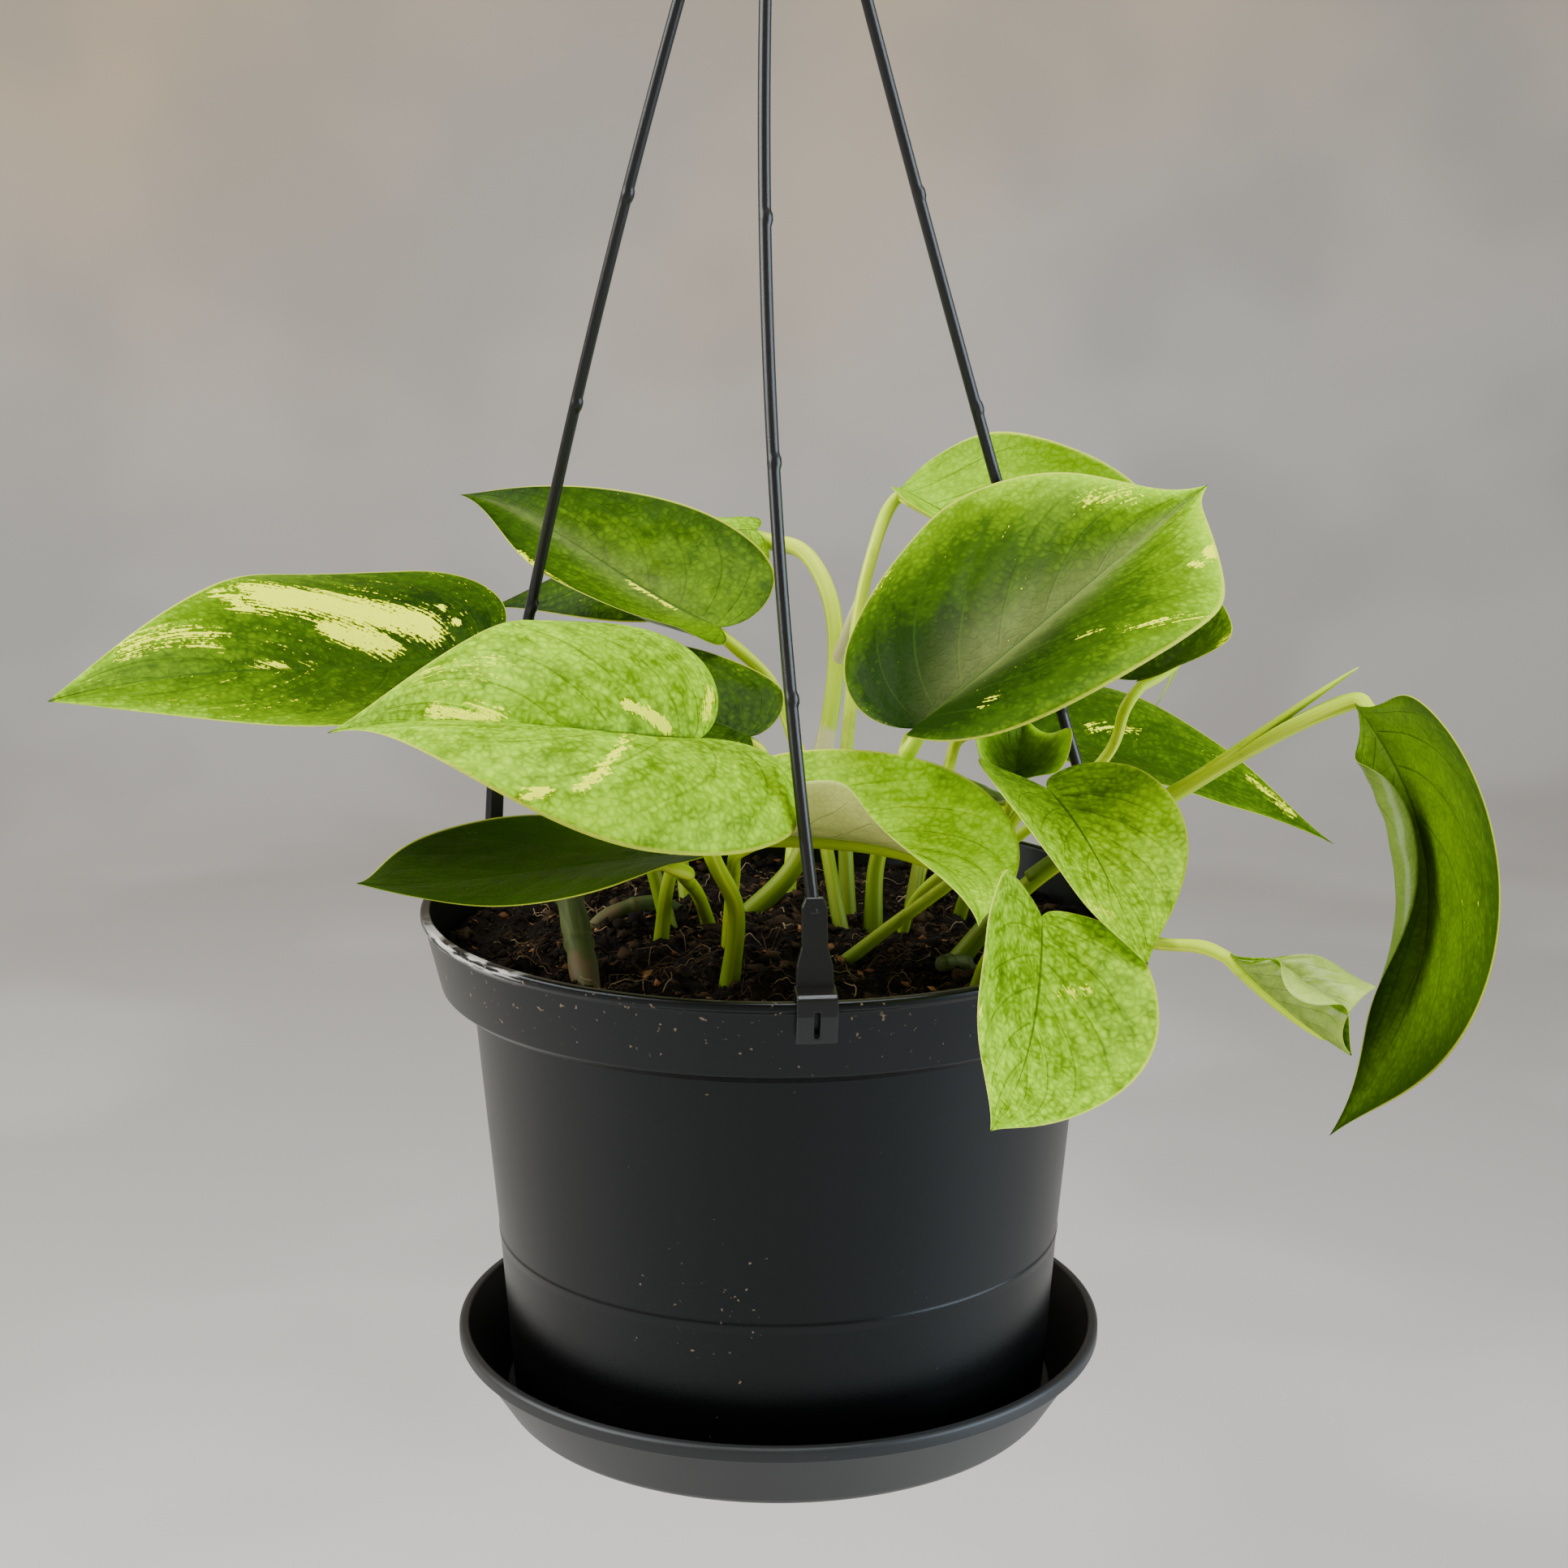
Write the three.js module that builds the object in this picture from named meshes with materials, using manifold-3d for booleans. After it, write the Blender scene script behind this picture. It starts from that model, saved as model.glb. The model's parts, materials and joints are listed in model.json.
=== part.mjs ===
// Potted Hawaiian pothos in a black hanging pot, with its drip saucer and three-strand hanger.
// Units are millimetres. +Z is up and the front of the pot faces -Y.
// The origin is where the hook bears on what holds it up, on the axis of the pot.
// The pot and plant are laid out in a lower group whose zero is the middle of the pot's rim.

import * as THREE from 'three';
import { mergeVertices } from 'three/addons/utils/BufferGeometryUtils.js';
import Module from 'manifold-3d';

// Driving dimensions
const RIM_DROP = 352; // from the bearing point of the hook down to the rim of the pot
const RIM_RADIUS = 100;
const WALL = 1.6;
const BAND_HEIGHT = 23;
const BAND_FOOT_RADIUS = 94.7;
const BODY_TOP_RADIUS = 86;
const BODY_FOOT_RADIUS = 76.4;
const POT_HEIGHT = 143.5;
const SAUCER_HEIGHT = 22.4;
const SAUCER_RIM_RADIUS = 92.3;
const SAUCER_FOOT_RADIUS = 79.8;
const SAUCER_WALL = 1.5;
const SEAT_GAP = 0.3;
const SOIL_LEVEL = -13;
const SOIL_LUMP = 1.5;
const STALK_DEPTH = 9;
const HOLE_CLEARANCE = 0.35;
const BLADE_THICKNESS = 0.8;
const ROD_RADIUS = 1.65;
const HUB_HEIGHT = 318; // where the strands meet, above the rim
const DRAIN_HOLES = 6;
const DRAIN_RADIUS = 2.4;

// Colour, roughness and metalness of each finish
const material = (color, roughness) => new THREE.MeshStandardMaterial({ color, roughness, metalness: 0 });
const POT_PLASTIC = material(0x1d1e20, 0.5);
const HANGER_PLASTIC = material(0x17181a, 0.38);
const SOIL = material(0x2a1a12, 0.95);
const LEAF = material(0x5c9a1f, 0.38);
const STALK = material(0x8fb548, 0.42);
const VINE = material(0x4f6631, 0.6);

const wasm = await Module();
wasm.setup();

const v3 = (p) => new THREE.Vector3(...p);
const rad = THREE.MathUtils.degToRad;

// Closed meshes as solids, for cutting and joining
function toSolid(geometry) {
  const bare = geometry.clone();
  bare.deleteAttribute('normal');
  bare.deleteAttribute('uv');
  const merged = mergeVertices(bare, 1e-4);
  const vertProperties = new Float32Array(merged.attributes.position.array);
  const triVerts = new Uint32Array(merged.index.array);
  return new wasm.Manifold(new wasm.Mesh({ numProp: 3, vertProperties, triVerts }));
}

function toGeometry(solid) {
  const mesh = solid.getMesh();
  const geometry = new THREE.BufferGeometry();
  geometry.setAttribute('position', new THREE.Float32BufferAttribute(mesh.vertProperties, 3));
  geometry.setIndex(new THREE.BufferAttribute(new Uint32Array(mesh.triVerts), 1));
  geometry.computeVertexNormals();
  return geometry;
}

// A lathe about +Z from a closed profile of [radius, height] points
function turned(profile, sides) {
  const points = profile.map(([r, z]) => new THREE.Vector2(r, z));
  return new THREE.LatheGeometry(points, sides).rotateX(Math.PI / 2);
}

function disc(radius, sides) {
  const points = Array.from({ length: sides }, (_, i) => {
    const angle = (2 * Math.PI * i) / sides;
    return new THREE.Vector2(radius * Math.cos(angle), radius * Math.sin(angle));
  });
  return new THREE.Shape(points);
}

function tube(curve, radius, sides, steps) {
  return new THREE.ExtrudeGeometry(disc(radius, sides), { steps, extrudePath: curve, bevelEnabled: false });
}

const outlineOf = (points) => new THREE.Shape(points.map(([x, y]) => new THREE.Vector2(x, y)));
const smooth = (points) => new THREE.CatmullRomCurve3(points.map(v3), false, 'centripetal');

// Pot: one wall profile, up the inside and down the outside, then the drain holes
function pot() {
  const floor = -POT_HEIGHT;
  const profile = [
    [0, floor + 3],
    [58, floor + 3],
    [62, floor + WALL],
    [BODY_FOOT_RADIUS - WALL, floor + WALL],
    [BODY_TOP_RADIUS - WALL, -BAND_HEIGHT - 3],
    [BAND_FOOT_RADIUS - WALL - 1, -BAND_HEIGHT + 1],
    [RIM_RADIUS - 2.8, -0.6],
    [RIM_RADIUS - 2.4, 0],
    [RIM_RADIUS - 0.5, 0],
    [RIM_RADIUS, -0.6],
    [RIM_RADIUS, -2.2],
    [RIM_RADIUS - 1, -3],
    [BAND_FOOT_RADIUS, -BAND_HEIGHT + 2],
    [BAND_FOOT_RADIUS - 2.5, -BAND_HEIGHT],
    [BODY_TOP_RADIUS, -BAND_HEIGHT - 1.5],
    [BODY_FOOT_RADIUS + 0.4, floor + 4],
    [BODY_FOOT_RADIUS, floor],
    [64, floor],
    [60, floor + 1.4],
    [0, floor + 1.4],
  ];
  let solid = toSolid(turned(profile.reverse(), 44));
  for (let i = 0; i < DRAIN_HOLES; i += 1) {
    const angle = (2 * Math.PI * (i + 0.5)) / DRAIN_HOLES;
    const drill = new THREE.CylinderGeometry(DRAIN_RADIUS, DRAIN_RADIUS, 12, 10).rotateX(Math.PI / 2);
    drill.translate(46 * Math.cos(angle), 46 * Math.sin(angle), floor + 2);
    solid = solid.subtract(toSolid(drill));
  }
  return toGeometry(solid);
}

// Saucer: flat base, sloped wall, rolled rim and the low ledge round the pot's foot
function saucer() {
  const floor = -POT_HEIGHT - SEAT_GAP;
  const under = floor - SAUCER_WALL;
  const rim = under + SAUCER_HEIGHT;
  const profile = [
    [0, under],
    [SAUCER_FOOT_RADIUS - 1.5, under],
    [SAUCER_FOOT_RADIUS, under + 1.5],
    [SAUCER_RIM_RADIUS - 2.2, rim - 4.6],
    [SAUCER_RIM_RADIUS, rim - 4],
    [SAUCER_RIM_RADIUS, rim - 0.8],
    [SAUCER_RIM_RADIUS - 0.8, rim],
    [SAUCER_RIM_RADIUS - 2.6, rim],
    [SAUCER_RIM_RADIUS - 3.2, rim - 1.2],
    [SAUCER_FOOT_RADIUS - 0.6, floor + 1.2],
    [BODY_FOOT_RADIUS + 2.4, floor],
    [0, floor],
  ];
  return turned(profile, 44);
}

// Clip: a bridge over the rim with a leg inside and a tab outside, and a strap that leans in with the rod
const CLIP_WIDTH = 10.4;
const STRAP_LEAN = 4;
const STRAP_FOOT = [RIM_RADIUS - 5, 0, 1];

function clip() {
  const inside = RIM_RADIUS - 5.8;
  const profile = [
    [inside, -5], [inside + 1.3, -5], [inside + 1.6, 0.4], [RIM_RADIUS + 0.5, 0.4], [RIM_RADIUS + 0.5, -3],
    [RIM_RADIUS - 1.8, -10.4], [RIM_RADIUS - 0.3, -10.8], [RIM_RADIUS + 2, -3], [RIM_RADIUS + 2, 1.4],
    [RIM_RADIUS + 1, 2.4], [inside, 3.2], [inside - 0.6, 1],
  ];
  const bridge = new THREE.ExtrudeGeometry(outlineOf(profile), { depth: CLIP_WIDTH, bevelEnabled: false });
  bridge.translate(0, 0, -CLIP_WIDTH / 2).rotateX(Math.PI / 2);
  const half = [[4.9, 0], [4.6, 7], [3.3, 12], [3.2, 22], [2.2, 24.5]];
  const mirrored = half.map(([y, z]) => [-y, z]).reverse();
  const strap = new THREE.ExtrudeGeometry(outlineOf([...half, ...mirrored]), { depth: 2.4, bevelEnabled: false });
  strap.rotateX(Math.PI / 2).rotateZ(Math.PI / 2).translate(-1.2, 0, 0);
  strap.rotateY(-rad(STRAP_LEAN)).translate(...STRAP_FOOT);
  return toSolid(bridge).add(toSolid(strap));
}

// Hanger strand: a slim bowed rod with small moulding nubs, fused to its clip
function strand({ azimuth, bow, nubs }) {
  const turn = new THREE.Matrix4().makeRotationZ(rad(azimuth));
  const placed = toSolid(toGeometry(clip()).applyMatrix4(turn));
  const reach = 20;
  const foot = new THREE.Vector3(STRAP_FOOT[0] - reach * Math.sin(rad(STRAP_LEAN)), 0, STRAP_FOOT[2] + reach);
  foot.applyMatrix4(turn);
  const head = new THREE.Vector3(3.4, 0, HUB_HEIGHT - 0.4).applyMatrix4(turn);
  const third = head.clone().sub(foot).divideScalar(3);
  const sway = v3(bow);
  const curve = new THREE.CubicBezierCurve3(
    foot,
    foot.clone().add(third).add(sway),
    head.clone().sub(third).add(sway),
    head,
  );
  let solid = placed.add(toSolid(tube(curve, ROD_RADIUS, 8, 12)));
  for (const t of nubs) {
    const ring = new THREE.CylinderGeometry(ROD_RADIUS + 0.7, ROD_RADIUS + 0.7, 2.2, 8).rotateX(Math.PI / 2);
    const at = curve.getPoint(t);
    const lean = new THREE.Quaternion().setFromUnitVectors(v3([0, 0, 1]), curve.getTangent(t));
    ring.applyQuaternion(lean).translate(at.x, at.y, at.z);
    solid = solid.add(toSolid(ring));
  }
  return toGeometry(solid);
}

// Hook: a domed hub over the strands' heads, fused to an open hook. The top of the hook's inner side
// is the origin.
const HOOK_RADIUS = 11; // of the wire's centre line
const HOOK_WIRE = 2.4;

function hanger() {
  const foot = HUB_HEIGHT - RIM_DROP;
  const centre = HOOK_WIRE - HOOK_RADIUS;
  const hub = turned(
    [[0, foot + 0.4], [7.2, foot + 0.4], [8, foot + 2], [6.4, foot + 5], [HOOK_WIRE, foot + 8], [0, foot + 8]],
    16,
  );
  const bend = [10, 45, 80, 115, 150, 185, 205].map((a) => [
    HOOK_RADIUS * Math.cos(rad(a)),
    0,
    centre + HOOK_RADIUS * Math.sin(rad(a)),
  ]);
  const route = [[0, 0, foot + 4], [0, 0, foot + 10], [6, 0, centre - 9], ...bend];
  return toGeometry(toSolid(hub).add(toSolid(tube(smooth(route), HOOK_WIRE, 8, 26))));
}

// Leaf outline, one half: a lobe behind the stalk, the belly, then the drip tip.
// Along is a share of the blade's length, across a share of its half width.
const bezier = (p, t) => {
  const s = 1 - t;
  return s * s * s * p[0] + 3 * s * s * t * p[1] + 3 * s * t * t * p[2] + t * t * t * p[3];
};
const LOBE_SHARE = 0.45; // share of the veins that run into the lobe

function marginPoint(leaf, v) {
  const { lobe, belly, point } = leaf;
  if (v < LOBE_SHARE) {
    const t = v / LOBE_SHARE;
    return [bezier([0, -1.25 * lobe, -1.3 * lobe, belly], t), bezier([0, 0.16, 1, 1], t)];
  }
  const t = (v - LOBE_SHARE) / (1 - LOBE_SHARE);
  return [bezier([belly, belly + 0.3, 0.78, 1], t), bezier([1, 1, point, 0], t)];
}

// Midrib frame at a share s of the blade's length: point, tangent, sideways and upward
function midribFrame(leaf, s) {
  const base = v3(leaf.base);
  const tip = v3(leaf.tip);
  const chord = tip.clone().sub(base);
  const along = chord.clone().normalize();
  const face = v3(leaf.face);
  const up = face.addScaledVector(along, -face.dot(along)).normalize();
  const side = along.clone().cross(up);
  const third = chord.clone().divideScalar(3);
  const rise = leaf.arch / 0.75;
  const sway = leaf.bow / 0.75;
  const curve = new THREE.CubicBezierCurve3(
    base,
    base.clone().add(third).addScaledVector(up, rise * (1 + leaf.skew)).addScaledVector(side, sway),
    tip.clone().sub(third).addScaledVector(up, rise * (1 - leaf.skew)).addScaledVector(side, sway),
    tip,
  );
  const t = THREE.MathUtils.clamp(s, 0, 1);
  const tangent = curve.getTangent(t);
  const point = curve.getPoint(t).addScaledVector(tangent, (s - t) * chord.length());
  side.addScaledVector(tangent, -side.dot(tangent)).normalize();
  const normal = side.clone().cross(tangent);
  const turn = rad(leaf.twist) * t;
  const turned = side.clone().multiplyScalar(Math.cos(turn)).addScaledVector(normal, Math.sin(turn));
  normal.multiplyScalar(Math.cos(turn)).addScaledVector(side, -Math.sin(turn));
  return { point, tangent, side: turned, normal };
}

// A point of the blade: v runs from the stalk round the margin to the tip, u from the midrib to the
// margin. Across, each half leaves the midrib at the fold angle and bends on a circular arc.
function bladePoint(leaf, half, v, u) {
  const [a, b] = marginPoint(leaf, v);
  const along = v * v * (1 - u) + a * u;
  const width = leaf.width * (half > 0 ? 1 : leaf.slim);
  const [curlBase, curlTip] = half > 0 ? leaf.right : leaf.left;
  const curl = curlBase + (curlTip - curlBase) * THREE.MathUtils.clamp(along, 0, 1);
  const bend = Math.abs(curl) < 0.5 ? rad(0.5) / width : rad(curl) / width;
  const start = rad(leaf.fold);
  const end = start + bend * b * u * width;
  const across = (Math.sin(end) - Math.sin(start)) / bend;
  const lift = (Math.cos(start) - Math.cos(end)) / bend;
  const phase = leaf.phase + (half > 0 ? 0 : 2.1);
  const ripple = leaf.wave * Math.sin(2 * Math.PI * leaf.waves * v + phase) * u * u * Math.sin(Math.PI * v);
  const { point, side, normal } = midribFrame(leaf, along);
  return point.addScaledVector(side, half * across).addScaledVector(normal, lift + ripple);
}

const ACROSS = [0.38, 0.72, 1]; // shares of each half at which the blade is drawn
const ACROSS_ROLLED = [0.22, 0.4, 0.56, 0.71, 0.86, 1]; // the same for a half that rolls over
const ROLLED_FROM = 100; // degrees of curl
const VEINS = 11;

// Blade: one grid of points set out twice, half the thickness to each side, with the same triangles
function blade(leaf) {
  const sharesOf = (curl) => (Math.max(...curl.map(Math.abs)) > ROLLED_FROM ? ACROSS_ROLLED : ACROSS);
  const leftShares = sharesOf(leaf.left);
  const columns = [...leftShares.map((u) => [-1, u]).reverse(), [1, 0], ...sharesOf(leaf.right).map((u) => [1, u])];
  const middle = leftShares.length;
  const wide = columns.length;
  const rows = [];
  for (let i = 1; i < VEINS; i += 1) {
    rows.push(columns.map(([half, u]) => bladePoint(leaf, half, i / VEINS, u)));
  }
  const points = [midribFrame(leaf, 0).point, ...rows.flat(), midribFrame(leaf, 1).point];
  const last = points.length - 1;
  const at = (row, column) => 1 + row * wide + column;
  const faces = [];
  for (let c = 0; c < wide - 1; c += 1) {
    faces.push([0, at(0, c), at(0, c + 1)]);
    for (let r = 0; r < rows.length - 1; r += 1) {
      const [p, q, s, t] = [at(r, c), at(r, c + 1), at(r + 1, c + 1), at(r + 1, c)];
      if (c < middle) {
        faces.push([p, t, q], [q, t, s]);
      } else {
        faces.push([p, s, q], [p, t, s]);
      }
    }
    faces.push([at(rows.length - 1, c), last, at(rows.length - 1, c + 1)]);
  }
  const rim = [0];
  for (let r = 0; r < rows.length; r += 1) rim.push(at(r, 0));
  rim.push(last);
  for (let r = rows.length - 1; r >= 0; r -= 1) rim.push(at(r, wide - 1));
  const normals = points.map(() => new THREE.Vector3());
  for (const [a, b, c] of faces) {
    const cross = points[b].clone().sub(points[a]).cross(points[c].clone().sub(points[a]));
    for (const i of [a, b, c]) normals[i].add(cross);
  }
  const half = BLADE_THICKNESS / 2;
  const upper = points.map((p, i) => p.clone().addScaledVector(normals[i].normalize(), half));
  const lower = points.map((p, i) => p.clone().addScaledVector(normals[i], -half));
  const index = [];
  const count = points.length;
  for (const [a, b, c] of faces) index.push(a, b, c, a + count, c + count, b + count);
  for (let i = 0; i < rim.length; i += 1) {
    const a = rim[i];
    const b = rim[(i + 1) % rim.length];
    index.push(a, a + count, b, b, a + count, b + count);
  }
  const geometry = new THREE.BufferGeometry();
  geometry.setAttribute(
    'position',
    new THREE.Float32BufferAttribute([...upper, ...lower].flatMap((p) => p.toArray()), 3),
  );
  geometry.setIndex(index);
  geometry.computeVertexNormals();
  return geometry;
}

// Stalk: from its hole in the soil, through the way points, to a seat under the foot of the midrib
const SEAT_REACH = 2.4; // how far the stalk runs on under the midrib
const STALK_FLAT = Math.cos(Math.PI / 6); // flat of the six-sided stalk, as a share of its radius

function stalkCurve(leaf) {
  const { point, tangent, normal } = midribFrame(leaf, 0);
  const seat = leaf.stalk * STALK_FLAT + BLADE_THICKNESS / 2 + SEAT_GAP;
  const end = point.clone().addScaledVector(tangent, SEAT_REACH).addScaledVector(normal, -seat);
  const approach = end.clone().addScaledVector(tangent, -6 - SEAT_REACH).addScaledVector(normal, -leaf.sink);
  const [x, y] = leaf.foot;
  const first = v3(leaf.way[0]);
  const ground = new THREE.Vector3(x, y, SOIL_LEVEL);
  const lean = first.clone().sub(ground).normalize();
  const root = ground.clone().addScaledVector(lean, -STALK_DEPTH / Math.max(lean.z, 0.4));
  return new THREE.CatmullRomCurve3([root, ground, ...leaf.way.map(v3), approach, end], false, 'centripetal');
}

// The part of a curve between two shares of its length
class Stretch extends THREE.Curve {
  constructor(whole, from, to) {
    super();
    Object.assign(this, { whole, from, to });
  }

  getPoint(t, target = new THREE.Vector3()) {
    return target.copy(this.whole.getPointAt(this.from + (this.to - this.from) * t));
  }
}

// A dry sheath stands off some stalks: a slim three-sided cone from a share of the stalk to its own tip
function stalk(leaf) {
  const whole = stalkCurve(leaf);
  const skip = (2 * SEAT_GAP) / whole.getLength();
  const stem = tube(new Stretch(whole, skip, 1), leaf.stalk, 6, leaf.steps);
  if (!leaf.sheath) return stem;
  const root = whole.getPointAt(leaf.sheath.from);
  const reach = v3(leaf.sheath.tip).sub(root);
  const cone = new THREE.ConeGeometry(leaf.stalk * 0.9, reach.length(), 5);
  const lean = new THREE.Quaternion().setFromUnitVectors(v3([0, 1, 0]), reach.clone().normalize());
  cone.applyQuaternion(lean).translate(...root.addScaledVector(reach, 0.5).toArray());
  return toGeometry(toSolid(stem).add(toSolid(cone)));
}

// Leaves, named by their place. base and tip are the ends of the midrib and face is where the upper
// side looks. arch lifts the midrib, bow sways it sideways and twist turns the tip. right and left
// are the curl of each half at the stalk and at the tip, in degrees. foot and way lead the stalk.
const PLAIN_LEAF = {
  arch: 4, skew: 0, bow: 0, twist: 0, slim: 1, lobe: 0.17, belly: 0.25, point: 0.12, fold: 10,
  right: [-10, -10], left: [-10, -10], wave: 0, waves: 2, phase: 0, stalk: 2.1, sink: 3, steps: 9,
};
const LEAVES = {
  far_left: {
    base: [-80, -6, 72], tip: [-181, -80, 72], face: [0.2, -0.5, 0.85], arch: 5, bow: -4, skew: -1.2,
    width: 50, belly: 0.23, point: 0.3, fold: 4, right: [-28, -28], left: [45, 45], twist: 4,
    foot: [-31, 11], way: [[-38, 13, 12], [-52, 18, 42], [-66, 14, 62]],
  },
  front_left: {
    base: [-20, -63, 59], tip: [-112, -80, 64], face: [0.22, -0.35, 0.9], arch: 13, bow: -14, skew: -0.3,
    width: 48, belly: 0.29, fold: 34, right: [-62, -62], left: [-72, -72],
    foot: [-13, -42], way: [[-11, -46, 10], [-16, -53, 23], [-19, -58, 34]], stalk: 2.5,
  },
  upper_left: {
    base: [-17.3, 36, 71], tip: [-95.8, 78, 104.1], face: [0, -0.45, 0.88], arch: 5, bow: -2, skew: -1.2,
    width: 33, lobe: 0.1, belly: 0.14, point: 0.08, fold: 14, right: [-7, -7], left: [45, 45], twist: 30,
    foot: [18, 6], way: [[10, 24, 26], [4, 35, 39], [-2, 41, 54]],
  },
  back_left: {
    base: [-7.2, 84, 92.6], tip: [-90.7, 100, 65.9], face: [0, -0.6, 0.8], arch: 9, bow: -4, skew: 0.6,
    width: 26, lobe: 0.06, fold: -10, right: [-70, -70], left: [-50, -50], twist: -10,
    foot: [-10, 26], way: [[6, 30, 3], [13, 42, 33], [16, 48, 48], [17, 54, 62], [15.2, 62, 76], [7.1, 76, 88]],
    stalk: 2.6, steps: 16, sheath: { from: 0.5, tip: [23.9, 50, 79.4] },
  },
  behind_left: {
    base: [-8, -3, 47], tip: [-54, -27, 62], face: [0.05, -0.6, 0.8], arch: -5, bow: 12, skew: 0.2,
    width: 25, lobe: 0.1, belly: 0.27, fold: 9, right: [-12, -12], left: [0, 0], twist: -8,
    foot: [-33, -2], way: [[-30, -3, 8], [-20, -5, 28]],
  },
  low_left: {
    base: [-30, -58, 27], tip: [-101, -112, 34], face: [-0.2, 0.05, 1], arch: -3, bow: 14, skew: -0.5,
    width: 35, belly: 0.21, point: 0.14, fold: 2, right: [20, 20], left: [2, 2], twist: 28,
    foot: [-19, 9], way: [[-22, -6, 2], [-26, -34, 16]],
  },
  big_right: {
    base: [36, -40, 57], tip: [120, 20, 114], face: [-0.6, -0.46, 0.65], arch: 3, bow: 5, skew: -0.2,
    width: 49, lobe: 0.08, belly: 0.42, point: 0.15, fold: 30, right: [-38, -38], left: [-40, -40],
    twist: -30, foot: [27, 10], way: [[28, 12, 8], [34, 6, 28], [35, -8, 43], [36, -22, 51]], stalk: 2.4,
  },
  top_back: {
    base: [36, 62, 108], tip: [116.5, 92, 36.2], face: [0.5, -0.35, 0.8], arch: 31, bow: 30, skew: -0.4,
    width: 18, slim: 1.9, lobe: 0.01, belly: 0.27, fold: 18, right: [20, 10], left: [70, 42], twist: -24,
    foot: [20, 17], way: [[19, 27, 28], [21, 36, 50], [23, 44, 73], [28, 50, 93]], stalk: 2.2, steps: 13,
  },
  under_right: {
    base: [100.4, 3, 61.9], tip: [123, 24, 87], face: [-0.6, -0.4, 0.4], arch: -5, bow: 2,
    width: 24, fold: 16, right: [0, 0], left: [0, 0], twist: -4,
    foot: [52, 22], way: [[57, 20, 2], [80, 14, 24], [94, 12, 40]], stalk: 1.8,
  },
  back_right: {
    base: [61, 58, 38], tip: [169, 66, -1], face: [0, -0.4, 0.92], arch: 5, bow: -2, skew: 0.1,
    width: 20, slim: 1.8, belly: 0.28, point: 0.09, fold: 12, right: [15, 15], left: [-34, -34], twist: -6,
    foot: [38, 26], way: [[42, 34, 6], [50, 48, 26]],
  },
  curl_centre: {
    base: [-4, -47, 30.3], tip: [49.2, -102, 20.2], face: [0.13, -0.26, 0.95], arch: 0, bow: -21,
    width: 36, lobe: 0.12, belly: 0.27, point: 0.08, fold: 6, right: [88, 12], left: [36, 70], twist: 26,
    foot: [-14, -20], way: [[-12, -32, 14]],
  },
  young_curl: {
    base: [64.6, -14, 37.4], tip: [68.4, 3, 52], face: [0, -0.8, 0.5], arch: -2,
    width: 17, belly: 0.45, fold: 22, right: [28, 28], left: [28, 28], wave: 2.4, waves: 3,
    foot: [35, 5], way: [[38, 3, -2], [53, -6, 15], [63, -14, 28]], stalk: 1.5,
  },
  heart_right: {
    base: [71, -42, 41], tip: [91, -100, 10], face: [0.37, -0.7, 0.62], arch: 2, bow: -1, skew: 0.8,
    width: 28, belly: 0.27, point: 0.3, fold: 0, right: [42, 42], left: [42, 42], twist: 7,
    foot: [17, -23], way: [[31, -25, -1], [46, -30, 12], [60, -37, 27]], stalk: 1.9,
  },
  hanging_front: {
    base: [65, -96, 21], tip: [48, -164, -10], face: [0.41, -0.91, 0.07], arch: -2, bow: -8, skew: -0.2,
    width: 32, lobe: 0.09, belly: 0.27, point: 0.13, fold: 0, right: [38, 38], left: [70, 70], twist: -16,
    foot: [52, -52], way: [[54, -58, -3], [60, -80, 16]],
  },
  far_right: {
    base: [151, -42, 64], tip: [144, -68, -46], face: [-0.88, -0.45, 0], arch: -6, bow: -41, skew: 0.5,
    width: 48, lobe: -0.12, belly: 0.3, point: 0.16, fold: 35, right: [235, 110], left: [30, -40], twist: 8,
    foot: [49, -20], way: [[62, -22, 4], [75, -24, 16], [103, -30, 35], [123, -34, 49], [139, -38, 59]],
    stalk: 2.6, steps: 14, sheath: { from: 0.62, tip: [151.9, -40, 73.2] },
  },
  rolled_right: {
    base: [111.8, -97, 12], tip: [137.8, -121, -6.4], face: [0.6, -0.1, 0.77], arch: -2,
    width: 25, lobe: -0.25, belly: 0.75, point: 0.4, fold: 60, right: [180, 120], left: [70, 30],
    foot: [62, -36], way: [[66, -42, -1], [72, -52, 7], [85, -67, 9], [97, -82, 10]], stalk: 1.9,
  },
  rear_left: {
    base: [-38, 80, 12], tip: [-60, 138, -22], face: [-0.25, 0.5, 0.85], arch: 8,
    width: 27, fold: 14, right: [10, -10], left: [10, -10],
    foot: [-27, 38], way: [[-29, 46, 0], [-34, 64, 10]],
  },
  rear_middle: {
    base: [8, 84, 12], tip: [14, 148, -25], face: [0, 0.5, 0.85], arch: 8,
    width: 28, fold: 14, right: [10, -10], left: [10, -10],
    foot: [3, 46], way: [[4, 54, 0], [6, 70, 10]],
  },
  rear_right: {
    base: [60, 70, 10], tip: [98, 118, -22], face: [0.35, 0.45, 0.8], arch: 8,
    width: 25, fold: 14, right: [10, -10], left: [10, -10],
    foot: [40, 46], way: [[44, 52, -1], [53, 62, 8]],
  },
};

// Old vine: short bare lengths that rise from the soil or lie half in it
const VINES = {
  front: { route: [[-48, -52, -22], [-51, -45, -12], [-54, -32, -3], [-57, -20, 5], [-59, -10, 9]], radius: 4 },
  creeping: { route: [[-58, 10, -20], [-51, 14, -11], [-40, 18, -7], [-31, 22, -9], [-26, 27, -17]], radius: 2.6 },
  cut: { route: [[54, -25, -21], [51, -29, -11], [44, -38, -8]], radius: 2.4 },
};

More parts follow.
